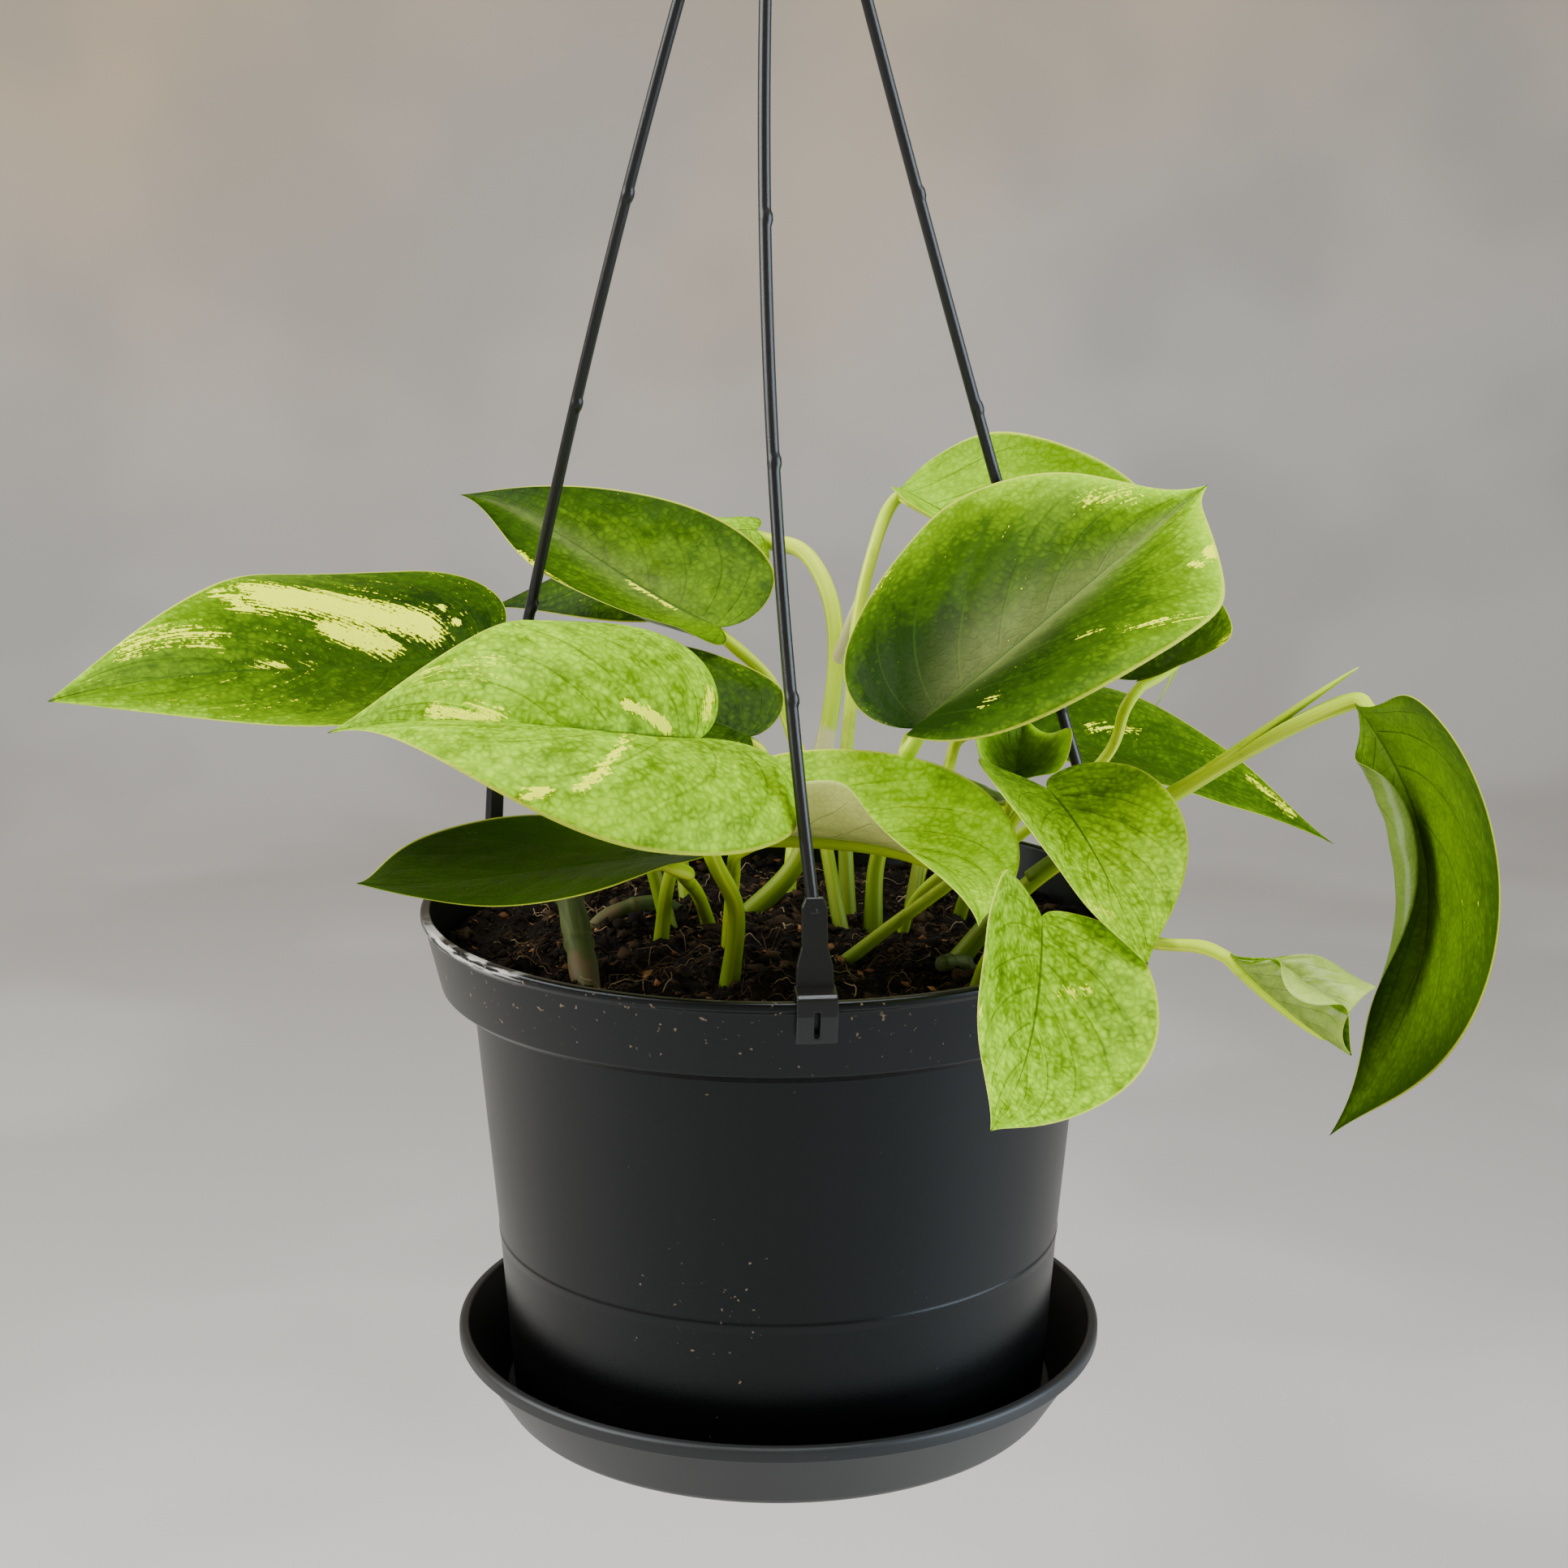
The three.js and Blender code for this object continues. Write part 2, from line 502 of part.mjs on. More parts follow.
function soil() {
  const floor = -POT_HEIGHT + 3 + SEAT_GAP;
  const rings = [0, 10, 21, 33, 45, 57, 68, 78, 86];
  const wall = (z) => {
    const taper = (z + POT_HEIGHT - WALL) / (POT_HEIGHT - WALL - BAND_HEIGHT - 3);
    const inner = BODY_FOOT_RADIUS + (BODY_TOP_RADIUS - BODY_FOOT_RADIUS) * Math.min(taper, 1) - WALL;
    return inner - SEAT_GAP - 0.3;
  };
  const rim = BAND_FOOT_RADIUS + (RIM_RADIUS - 1 - BAND_FOOT_RADIUS) * 0.3 - WALL - 2.6;
  const profile = [
    [0, floor],
    [57, floor],
    [wall(floor + 2), floor + 2],
    [wall(-BAND_HEIGHT - 3), -BAND_HEIGHT - 3.4],
    [rim, -BAND_HEIGHT + 3],
    ...rings.reverse().map((r) => [r, SOIL_LEVEL]),
  ];
  const geometry = turned(profile, 40);
  const position = geometry.attributes.position;
  for (let i = 0; i < position.count; i += 1) {
    const [x, y, z] = [position.getX(i), position.getY(i), position.getZ(i)];
    if (z > SOIL_LEVEL - 0.5) {
      const lump = Math.sin(x / 9 + 1) * Math.cos(y / 8) + 0.7 * Math.sin(x / 4.3 - y / 5.1);
      const heap = 3 * (1 - Math.hypot(x, y) / 86);
      position.setZ(i, z + SOIL_LUMP * lump + heap);
    }
  }
  return geometry;
}

const part = new THREE.Group();
const low = new THREE.Group();
low.position.z = -RIM_DROP;
part.add(low);

function place(group, name, geometry, finish) {
  const mesh = new THREE.Mesh(geometry, finish);
  mesh.name = name;
  group.add(mesh);
}

let bed = toSolid(soil());
for (const [name, values] of Object.entries(LEAVES)) {
  const leaf = { ...PLAIN_LEAF, ...values };
  place(low, `leaf_${name}`, blade(leaf), LEAF);
  place(low, `stalk_${name}`, stalk(leaf), STALK);
  const hole = tube(stalkCurve(leaf), leaf.stalk + HOLE_CLEARANCE, 6, leaf.steps * 2);
  bed = bed.subtract(toSolid(hole));
}
for (const [name, { route, radius }] of Object.entries(VINES)) {
  const curve = smooth(route);
  const skip = (2 * SEAT_GAP) / curve.getLength();
  place(low, `vine_${name}`, tube(new Stretch(curve, skip, 1 - skip), radius, 7, 9), VINE);
  bed = bed.subtract(toSolid(tube(curve, radius + HOLE_CLEARANCE, 7, 18)));
}
place(low, 'soil', toGeometry(bed), SOIL);
place(low, 'pot', pot(), POT_PLASTIC);
place(low, 'saucer', saucer(), POT_PLASTIC);
place(low, 'strand_front', strand({ azimuth: -84.4, bow: [-10, 0, 0], nubs: [0.12, 0.55] }), HANGER_PLASTIC);
place(low, 'strand_left', strand({ azimuth: 153, bow: [-6, -4, 0], nubs: [0.3, 0.62] }), HANGER_PLASTIC);
place(low, 'strand_right', strand({ azimuth: 17, bow: [-2, 0, 0], nubs: [0.3, 0.62] }), HANGER_PLASTIC);
place(part, 'hanger_hook', hanger(), HANGER_PLASTIC);

export default part;
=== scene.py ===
# %% [markdown]
# # A potted Hawaiian pothos in a black hanging pot
#
# The CAD frame gives every piece its place and size: the pot, its saucer, the three-strand hanger,
# the soil, the stalks and the blades. It is plain, with few faces and flat colours. This lesson dresses
# it: each leaf becomes a fine curved sheet with veins and yellow marbling, each stalk a channelled
# stem, the soil a heap of crumbs and fibres, and the plastic gets its moulded grain and its dust.

# %% Load the frame
import json
from types import SimpleNamespace

import bmesh
import bpy
import numpy as np
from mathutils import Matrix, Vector

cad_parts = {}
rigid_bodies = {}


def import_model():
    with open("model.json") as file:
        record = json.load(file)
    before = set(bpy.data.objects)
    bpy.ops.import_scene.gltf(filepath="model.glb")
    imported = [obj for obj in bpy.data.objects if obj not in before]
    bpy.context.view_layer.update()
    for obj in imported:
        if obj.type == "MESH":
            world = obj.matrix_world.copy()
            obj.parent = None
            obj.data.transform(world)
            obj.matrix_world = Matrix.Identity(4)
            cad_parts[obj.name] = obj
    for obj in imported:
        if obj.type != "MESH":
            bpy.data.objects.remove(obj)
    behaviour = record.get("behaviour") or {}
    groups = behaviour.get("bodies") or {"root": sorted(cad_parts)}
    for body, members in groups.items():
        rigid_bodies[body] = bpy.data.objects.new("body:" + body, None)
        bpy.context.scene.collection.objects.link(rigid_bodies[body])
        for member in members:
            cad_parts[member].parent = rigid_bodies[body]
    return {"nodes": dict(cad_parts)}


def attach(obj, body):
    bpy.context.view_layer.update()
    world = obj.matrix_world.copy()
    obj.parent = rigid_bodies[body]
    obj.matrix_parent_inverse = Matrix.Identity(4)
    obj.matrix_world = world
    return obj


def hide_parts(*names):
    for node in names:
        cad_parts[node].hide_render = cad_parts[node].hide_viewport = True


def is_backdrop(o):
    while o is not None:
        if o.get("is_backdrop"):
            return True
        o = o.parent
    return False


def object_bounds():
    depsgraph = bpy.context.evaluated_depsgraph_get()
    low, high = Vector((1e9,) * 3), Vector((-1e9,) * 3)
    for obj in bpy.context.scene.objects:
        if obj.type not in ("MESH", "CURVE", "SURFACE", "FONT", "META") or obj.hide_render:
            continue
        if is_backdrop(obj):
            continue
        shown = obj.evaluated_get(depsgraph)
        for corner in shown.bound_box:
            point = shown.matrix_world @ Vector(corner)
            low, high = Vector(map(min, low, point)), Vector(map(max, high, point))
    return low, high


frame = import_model()
cad_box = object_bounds()
print("nodes in the frame:", len(frame["nodes"]))

# %% [markdown]
# ## Units and driving sizes
#
# All lengths below are in millimetres, measured from the middle of the pot's rim. The frame has its
# zero at the hook, in metres, so every finished mesh is moved down by the rim's drop and scaled once.

# %% Units and driving sizes
MM = 0.001
RIM_DROP = 352.0
RIM_RADIUS = 100.0
WALL = 1.6
BAND_HEIGHT = 23.0
BAND_FOOT_RADIUS = 94.7
BODY_TOP_RADIUS = 86.0
BODY_FOOT_RADIUS = 76.4
POT_HEIGHT = 143.5
SAUCER_HEIGHT = 22.4
SAUCER_RIM_RADIUS = 92.3
SAUCER_FOOT_RADIUS = 79.8
SAUCER_WALL = 1.5
SEAT_GAP = 0.3
SOIL_LEVEL = -13.0
SOIL_LUMP = 1.5
HUB_HEIGHT = 318.0
ROD_RADIUS = 1.65
print("pot:", 2 * RIM_RADIUS, "mm wide,", POT_HEIGHT, "mm high")

# %% [markdown]
# ## The camera
#
# The photo was taken from a little above the rim, three quarters of a metre away, with the camera tilted
# down. The lens and place below come from the ellipses of the rim, the band and the saucer.

# %% The camera
CAMERA_PLACE = (1.6, -764.8, 207.1)
CAMERA_TILT = 0.224
FOCAL_PIXELS = 3469.0
FRAME_PIXELS = 1932.0
SENSOR = 36.0

camera_data = bpy.data.cameras.new("camera")
camera_data.sensor_width = SENSOR
camera_data.lens = FOCAL_PIXELS / FRAME_PIXELS * SENSOR
camera = bpy.data.objects.new("camera", camera_data)
camera.location = (np.array(CAMERA_PLACE) + (0, 0, -RIM_DROP)) * MM
camera.rotation_euler = (np.pi / 2 - CAMERA_TILT, 0, 0)
bpy.context.scene.collection.objects.link(camera)
bpy.context.scene.camera = camera
print("lens", round(camera_data.lens, 1), "mm")

# %% [markdown]
# ## From arrays to meshes
#
# A surface here is a function of two parameters, worked out on a grid of points as one numpy array.
# The first helper turns such a grid into faces: four neighbours make a quad, and a grid that goes round
# a tube is closed on itself.

# %% Faces of a grid
def grid_faces(rows, columns, first=0, closed=False):
    """Quads between neighbouring rows and columns. closed also joins the last column to the first."""
    row = np.arange(rows - 1)[:, None] * columns
    column = np.arange(columns if closed else columns - 1)[None, :]
    beside = (column + 1) % columns
    quads = [row + column, row + beside, row + columns + beside, row + columns + column]
    return np.stack(quads, axis=-1).reshape(-1, 4) + first


print("faces of a grid of 3 by 4 points:", len(grid_faces(3, 4)))

# %% [markdown]
# The points and faces then become one Blender object. It stays at the origin, because its place is
# already in its points, and it is smooth shaded, because no face here is meant to be seen.

# %% Arrays into an object
def add_mesh(name, points, quads, triangles=()):
    """An object of the given points (millimetres from the rim), quads and triangles, smooth shaded."""
    quads = np.asarray(quads, dtype=np.int32).reshape(-1, 4)
    triangles = np.asarray(triangles, dtype=np.int32).reshape(-1, 3)
    place = (np.asarray(points) + (0, 0, -RIM_DROP)) * MM
    sizes = np.concatenate([np.full(len(quads), 4), np.full(len(triangles), 3)])
    mesh = bpy.data.meshes.new(name)
    mesh.vertices.add(len(place))
    mesh.vertices.foreach_set("co", place.astype(np.float32).ravel())
    mesh.loops.add(int(sizes.sum()))
    mesh.loops.foreach_set("vertex_index", np.concatenate([quads.ravel(), triangles.ravel()]))
    mesh.polygons.add(len(sizes))
    mesh.polygons.foreach_set("loop_start", np.concatenate([[0], np.cumsum(sizes)[:-1]]))
    mesh.polygons.foreach_set("use_smooth", np.ones(len(sizes), dtype=bool))
    mesh.update(calc_edges=True)
    obj = bpy.data.objects.new(name, mesh)
    bpy.context.scene.collection.objects.link(obj)
    return obj


# %% [markdown]
# A closed mesh has an inside and an outside. It is easier to turn all its faces outwards at the end than to
# keep count of which way round each of them was listed.

# %% Faces turned outwards
def fix_normals(obj):
    """Turns every face of a closed mesh outwards."""
    mesh = bmesh.new()
    mesh.from_mesh(obj.data)
    bmesh.ops.recalc_face_normals(mesh, faces=mesh.faces)
    mesh.to_mesh(obj.data)
    mesh.free()
    obj.data.update()


print("meshes so far:", len(bpy.data.meshes))

# %% [markdown]
# A shader that follows a vein or a stripe needs to know where on the leaf it is. The UV pair says so,
# and further numbers, such as how old or how pale the green is, are stored at the vertices. At the end
# each piece gets its material, and the plain nodes of the frame that it stands for are hidden.

# %% What a mesh carries for its looks
def set_uv(obj, uv):
    """Gives each face corner the pair of its vertex, from one array of pairs."""
    corners = np.empty(len(obj.data.loops), dtype=np.int32)
    obj.data.loops.foreach_get("vertex_index", corners)
    layer = obj.data.uv_layers.new(name="UVMap")
    layer.uv.foreach_set("vector", uv[corners].astype(np.float32).ravel())


def set_values(obj, **values):
    """Stores one number for each vertex under each name, for the shader to read."""
    for name, value in values.items():
        field = np.broadcast_to(np.asarray(value, dtype=np.float32), len(obj.data.vertices))
        layer = obj.data.attributes.new(name, "FLOAT", "POINT")
        layer.data.foreach_set("value", np.ascontiguousarray(field))


def finish_piece(obj, material, slot, *nodes):
    """Gives a piece its material, lets it ride on the part and hides the nodes it stands for. slot is not
    used.
    """
    obj.data.materials.append(material)
    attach(obj, "root")
    if nodes:
        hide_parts(*nodes)


print("materials before the first piece:", len(bpy.data.materials))

# %% [markdown]
# ## Smooth randomness
#
# Natural surfaces undulate. A sum of plane waves with random directions is smooth, cheap and the same
# on every run, because its generator is seeded.

# %% Smooth randomness
WAVE_COUNT = 9
WAVE_SUM = 3.5  # what the sum seldom passes


def waves(seed, wavelength, *coordinates):
    """Sum of plane waves of about the given wavelength, scaled to stay near -1 to 1."""
    random = np.random.default_rng(seed)
    total = 0.0
    for _ in range(WAVE_COUNT):
        direction = random.normal(size=len(coordinates))
        direction *= 2 * np.pi / (wavelength * random.uniform(0.7, 1.5)) / np.linalg.norm(direction)
        phase = random.uniform(0, 2 * np.pi)
        total = total + np.sin(sum(d * c for d, c in zip(direction, coordinates)) + phase)
    return total / WAVE_SUM


sample = waves(1, 10, np.linspace(0, 300, 600))
print("waves run from", round(float(sample.min()), 2), "to", round(float(sample.max()), 2))

# %% [markdown]
# ## Paths and tubes
#
# Stalks, rods and old vine are tubes along a smooth path. Its points have to stand evenly along it, or the
# faces of a tube would be long in one place and short in another. So a path can be walked by its length.

# %% Walking along a path
def lengths(path):
    """Distance along a path from its start to each of its points."""
    return np.concatenate([[0], np.cumsum(np.linalg.norm(np.diff(path, axis=0), axis=1))])


def evenly(path, count, start=0.0, stop=1.0):
    """The stretch of a path between two shares of its length, as count evenly spaced points."""
    run = lengths(path)
    wanted = np.linspace(start, stop, count) * run[-1]
    return np.stack([np.interp(wanted, run, path[:, i]) for i in range(3)], axis=-1)


print("half way from 0 to 10:", evenly(np.array([[0.0, 0.0, 0.0], [10.0, 0.0, 0.0]]), 3)[1].tolist())

# %% [markdown]
# The path itself is a centripetal Catmull-Rom curve. The same one carries the CAD solids, so the fine
# stem lies exactly where the plain one does.

# %% A smooth path
SPAN_STEPS = 24


def smooth_path(points, count):
    """Centripetal Catmull-Rom curve through the points, as count points evenly spaced along it.

    Each span is a cubic from one point to the next, and the knots are the square roots of the gaps."""
    points = np.asarray(points, dtype=float)
    whole = np.vstack([2 * points[0] - points[1], points, 2 * points[-1] - points[-2]])
    knots = np.sqrt(np.linalg.norm(np.diff(whole, axis=0), axis=1))[:, None]
    p0, p1, p2, p3 = whole[:-3], whole[1:-2], whole[2:-1], whole[3:]
    k0, k1, k2 = knots[:-2], knots[1:-1], knots[2:]
    start = ((p1 - p0) / k0 - (p2 - p0) / (k0 + k1) + (p2 - p1) / k1) * k1
    end = ((p2 - p1) / k1 - (p3 - p1) / (k1 + k2) + (p3 - p2) / k2) * k1
    t = np.linspace(0, 1, SPAN_STEPS, endpoint=False)[None, :, None]
    cubic = (
        (2 * t**3 - 3 * t**2 + 1) * p1[:, None]
        + (t**3 - 2 * t**2 + t) * start[:, None]
        + (-2 * t**3 + 3 * t**2) * p2[:, None]
        + (t**3 - t**2) * end[:, None]
    )
    return evenly(np.vstack([cubic.reshape(-1, 3), points[-1]]), count)


bend = smooth_path([(0, 0, 0), (10, 0, 10), (30, 0, 14)], 40)
print("a bend through three points is", round(float(lengths(bend)[-1]), 1), "mm long")

# %% [markdown]
# A stalk isn't a plain rod: its upper side has a channel. The tube is swept ring by ring, and every ring
# is turned by the same side direction, so the channel doesn't wind round the stalk.

# %% Rings round a path
GROOVE_SPREAD = 0.55  # radians


def plane_side(path):
    """The direction square to the plane that fits a path best, from its singular vectors."""
    return np.linalg.svd(path - path.mean(axis=0), full_matrices=False)[2][2]


def sweep(path, radius, sides, groove=0.0):
    """Points of a tube round a path: centre + radius * (cos * across + sin * up), one ring a station.

    across is square to the path's plane and to the path. groove dents the tube on its upper side."""
    radius = np.broadcast_to(radius, len(path))[:, None]
    tangent = np.gradient(path, axis=0)
    tangent /= np.linalg.norm(tangent, axis=1, keepdims=True)
    side = plane_side(path)
    across = side - tangent * (tangent @ side)[:, None]
    across /= np.linalg.norm(across, axis=1, keepdims=True)
    up = np.cross(across, tangent)
    angle = np.linspace(0, 2 * np.pi, sides, endpoint=False)[None, :]
    dent = 1 - groove * np.exp(-(((angle - np.pi / 2) / GROOVE_SPREAD) ** 2))
    ring = radius * dent
    return (
        path[:, None]
        + (ring * np.cos(angle))[..., None] * across[:, None]
        + (ring * np.sin(angle))[..., None] * up[:, None]
    )


print("rings of the bend:", sweep(bend, 2.0, 12).shape[:2])

# %% [markdown]
# A cut or rooted end is closed by a fan of triangles, so that each tube is a solid body.

# %% A closed tube
def fan_faces(point, first, second):
    """Triangles that join one point to the pairs of neighbours in two lists."""
    return np.stack([np.full(len(first), point), first, second], axis=-1)


def add_tube(name, path, radius, sides, groove=0.0):
    """A tube along a path, closed at each end by a flat fan round one more point."""
    rings = sweep(path, radius, sides, groove)
    stations = len(path)
    points = np.vstack([rings.reshape(-1, 3), path[:1], path[-1:]])
    ends = np.arange(sides)
    beside = (ends + 1) % sides
    low, high = stations * sides, stations * sides + 1
    far = (stations - 1) * sides
    caps = np.concatenate([fan_faces(low, beside, ends), fan_faces(high, far + ends, far + beside)])
    obj = add_mesh(name, points, grid_faces(stations, sides, closed=True), caps)
    along = np.repeat(np.linspace(0, 1, stations), sides)
    round_it = np.tile(np.arange(sides) / sides, stations)
    uv = np.stack([round_it, along], axis=-1)
    set_uv(obj, np.vstack([uv, [[0.5, 0.0], [0.5, 1.0]]]))
    return obj


print("faces of the bend's wall:", len(grid_faces(len(bend), 12, closed=True)))

# %% [markdown]
# ## The shape of a blade
#
# A pothos leaf is a heart: two lobes behind the stalk, a broad belly and a drip tip. Its outline is two
# cubic curves a side. The midrib bends in space, and each half leaves it at a fold angle and curls on
# an arc. Every point has two parameters: v runs round the margin from stalk to tip, and u from the
# midrib out to the margin, so a line of one v is a vein, and the marbling can follow it later.

# %% The plain leaf
PLAIN_LEAF = dict(
    arch=4, skew=0, bow=0, twist=0, slim=1, lobe=0.17, belly=0.25, point=0.12, fold=10,
    right=(-10, -10), left=(-10, -10), wave=0, waves=2, phase=0, stalk=2.1, sink=3,
    sheath=None, bulges=(),
)
sample_leaf = dict(PLAIN_LEAF, base=(0, 0, 0), tip=(100, 0, 0), face=(0, 0, 1), width=50)
print("what a leaf's row may say:", ", ".join(sample_leaf))

# %% [markdown]
# Two small helpers do most of the work: a cubic curve of four controls, which bends as a real margin
# does, and directions of length one.

# %% Curves and directions
def bezier(control, t):
    """Cubic curve of four controls: the sum of each one times its Bernstein weight."""
    s = 1 - t
    return s**3 * control[0] + 3 * s * s * t * control[1] + 3 * s * t * t * control[2] + t**3 * control[3]


def unit(vector):
    """The same directions, one long."""
    return vector / np.linalg.norm(vector, axis=-1, keepdims=True)


print("middle of a cubic from 0 to 1:", bezier([0, 0, 1, 1], 0.5))

# %% [markdown]
# On the real leaf the lobes pass behind the stalk and the tip draws out to let the rain run off. So the
# margin has two cubic curves: one round the lobe to the widest place, one from there to the tip.

# %% The margin
LOBE_SHARE = 0.45  # the share of v that goes round the lobe


def margin(leaf, v):
    """Share of the blade's length and of its half width at v on the margin: lobe curve, then tip curve."""
    lobe, belly, point = leaf["lobe"], leaf["belly"], leaf["point"]
    early = np.clip(v / LOBE_SHARE, 0, 1)
    late = np.clip((v - LOBE_SHARE) / (1 - LOBE_SHARE), 0, 1)
    in_lobe = v < LOBE_SHARE
    lobe_along = bezier([0, -1.25 * lobe, -1.3 * lobe, belly], early)
    tip_along = bezier([belly, belly + 0.3, 0.78, 1], late)
    along = np.where(in_lobe, lobe_along, tip_along)
    across = np.where(in_lobe, bezier([0, 0.16, 1, 1], early), bezier([1, 1, point, 0], late))
    return along, across


print("widest place of a plain leaf:", [float(x) for x in margin(PLAIN_LEAF, LOBE_SHARE)])

# %% [markdown]
# A leaf's weight and its turning to the light bend the midrib into an arch, shift it to one side and
# twist it. The midrib is therefore a cubic curve with a side and a normal at every place.

# %% The midrib in space
def midrib(leaf, s):
    """Place, tangent, side and normal at a share s of the midrib, a cubic curve from base to tip.

    arch lifts the curve along the face, bow shifts it sideways, and twist turns side and normal."""
    base, tip = np.array(leaf["base"], float), np.array(leaf["tip"], float)
    chord = tip - base
    along = unit(chord)
    face = np.array(leaf["face"], float)
    up = unit(face - along * (face @ along))
    side = np.cross(along, up)
    rise, sway, skew = leaf["arch"] / 0.75, leaf["bow"] / 0.75, leaf["skew"]
    controls = np.array([
        base,
        base + chord / 3 + up * rise * (1 + skew) + side * sway,
        tip - chord / 3 + up * rise * (1 - skew) + side * sway,
        tip,
    ])
    t = np.clip(s, 0, 1)[..., None]
    steps = np.diff(controls, axis=0)
    slope = (1 - t) ** 2 * steps[0] + 2 * t * (1 - t) * steps[1] + t * t * steps[2]
    tangent = unit(slope)
    place = bezier(controls, t) + tangent * (s[..., None] - t) * np.linalg.norm(chord)
    across = unit(side - tangent * (tangent @ side)[..., None])
    normal = np.cross(across, tangent)
    turn = np.radians(leaf["twist"]) * t
    turned = across * np.cos(turn) + normal * np.sin(turn)
    return place, tangent, turned, normal * np.cos(turn) - across * np.sin(turn)


print("middle of a plain midrib:", midrib(sample_leaf, np.array([0.5]))[0].round(1).tolist())

# %% [markdown]
# The two halves aren't flat: each leaves the midrib at the fold and curls on, up or down, and the margin
# ripples where it has grown faster than the middle. A curling section is an arc of a circle.

# %% Points of one half
def blade_points(leaf, half, v, u, relief=0.0):
    """Points of one half: across the midrib each section is an arc that starts at the fold angle.

    across = (sin end - sin start) / bend and lift = (cos start - cos end) / bend, plus the ripple."""
    edge_along, edge_across = margin(leaf, v)
    along = v * v * (1 - u) + edge_along * u
    width = leaf["width"] * np.where(half > 0, 1.0, leaf["slim"])
    for bulge_side, bulge_v, spread, share in leaf["bulges"]:
        width = width * (1 + share * np.exp(-(((v - bulge_v) / spread) ** 2)) * (half == bulge_side))
    right, left = leaf["right"], leaf["left"]
    curl_base = np.where(half > 0, right[0], left[0])
    curl_tip = np.where(half > 0, right[1], left[1])
    curl = curl_base + (curl_tip - curl_base) * np.clip(along, 0, 1)
    bend = np.radians(np.where(np.abs(curl) < 0.5, 0.5, curl)) / width
    start = np.radians(leaf["fold"])
    end = start + bend * edge_across * u * width
    across = (np.sin(end) - np.sin(start)) / bend
    lift = (np.cos(start) - np.cos(end)) / bend
    phase = leaf["phase"] + np.where(half > 0, 0.0, 2.1)
    ripple = leaf["wave"] * np.sin(2 * np.pi * leaf["waves"] * v + phase) * u * u * np.sin(np.pi * v)
    place, _, side, normal = midrib(leaf, along)
    out = (half * across)[..., None] * side + (lift + ripple)[..., None] * normal
    if np.ndim(relief):
        lean = np.cos(end)[..., None] * normal - (half * np.sin(end))[..., None] * side
        out = out + relief[..., None] * lean
    return place + out


widest = blade_points(sample_leaf, 1.0, np.array([LOBE_SHARE]), np.array([1.0]))
print("its margin at the widest place:", widest.round(1).tolist())

# %% [markdown]
# ## A leaf as a thin closed sheet
#
# The fine blade follows the frame's blade and adds what shows close up. The side veins lie in shallow
# furrows and the green between them swells. The midrib is a groove above and a keel below. The sheet is
# thin and closed, as a leaf is. Each of its sides is a grid, with rows that follow one another to the tip.

# %% The grid of a blade
ROWS = 100
HALF_COLUMNS = 28
COLUMN_POWER = 1.15


def blade_grid():
    """v along the rows, and c across the columns from -1 to 1, with the columns a little denser inside."""
    spread = np.linspace(-1, 1, 2 * HALF_COLUMNS + 1)
    v = np.linspace(0, 1, ROWS + 2)[1:-1, None] * np.ones(len(spread))
    c = np.ones((ROWS, 1)) * np.sign(spread) * np.abs(spread) ** COLUMN_POWER
    return v, c


print("rows and columns of one side:", blade_grid()[0].shape)

# %% [markdown]
# The side veins leave the midrib, sweep forward and bow towards the tip. A vein is a line of one value, so
# the same formula serves the furrows here and the streaks of colour later.

# %% Veins of a blade
SIDE_VEINS = 8
VEIN_SWEEP = 0.30  # how far a side vein runs on towards the tip before it meets the margin, as a share of v
VEIN_ARC = 0.08  # how far it bows on the way


def vein_of(v, u):
    """Which vein a point lies on: v less the forward sweep, plus the bow, so one value is one vein."""
    return v - VEIN_SWEEP * u + VEIN_ARC * u * (1 - u)


print("veins that reach v = 0.5 at midrib and margin:", [round(vein_of(0.5, u), 2) for u in (0, 1)])

# %% [markdown]
# The surface isn't smooth between the veins. Each vein lies in a furrow, the green puckers in the fields,
# each half swells a little away from the midrib, and the whole sheet sways slowly when it is limp. All of
# this is one height over the plain blade, so it can be added along the normal in one step.

# %% Relief of a blade
PLAIN_WIDTH = 50.0  # the half width for which the heights below are given, in millimetres
FURROW_DEPTH = 0.32
PUCKER_HEIGHT = 0.16
GROOVE_DEPTH = 0.45
GROOVE_WIDTH = 0.9
LEAF_RUN = 110.0  # millimetres that stand for the whole of v, so the waves are as long along as across
PUCKER_SPACING = 9.0
SWAY_SPACING = 34.0


def blade_relief(leaf, seed, v, c):
    """Millimetres over the plain blade: furrows + pucker + swelling - groove, times the width, + sway."""
    u = np.abs(c)
    size = leaf["width"] / PLAIN_WIDTH
    edge_across = margin(leaf, v)[1]
    furrow = np.abs(np.sin(np.pi * SIDE_VEINS * vein_of(v, u))) ** 0.6 - 0.7
    inner = np.clip(u * 5, 0, 1) * np.clip((1 - u) * 4, 0, 1)
    puff = leaf["puff"] * size * (1 - (1 - u) ** 2.2) * np.cos(np.pi / 2 * u) ** 0.6
    groove = -GROOVE_DEPTH * size * np.exp(-((u * leaf["width"] / GROOVE_WIDTH) ** 2))
    pucker = PUCKER_HEIGHT * waves(seed + 40, PUCKER_SPACING, c * leaf["width"], v * LEAF_RUN) * inner
    sway = waves(seed, SWAY_SPACING, c * leaf["width"], v * LEAF_RUN) * leaf["limp"] * u * edge_across
    return (FURROW_DEPTH * size * furrow * inner + pucker + puff + groove) * edge_across + sway


relief = blade_relief({**sample_leaf, "puff": 1.6, "limp": 0.5}, 1, *blade_grid())
print("a plain leaf's relief:", round(float(relief.min()), 2), "to", round(float(relief.max()), 2), "mm")

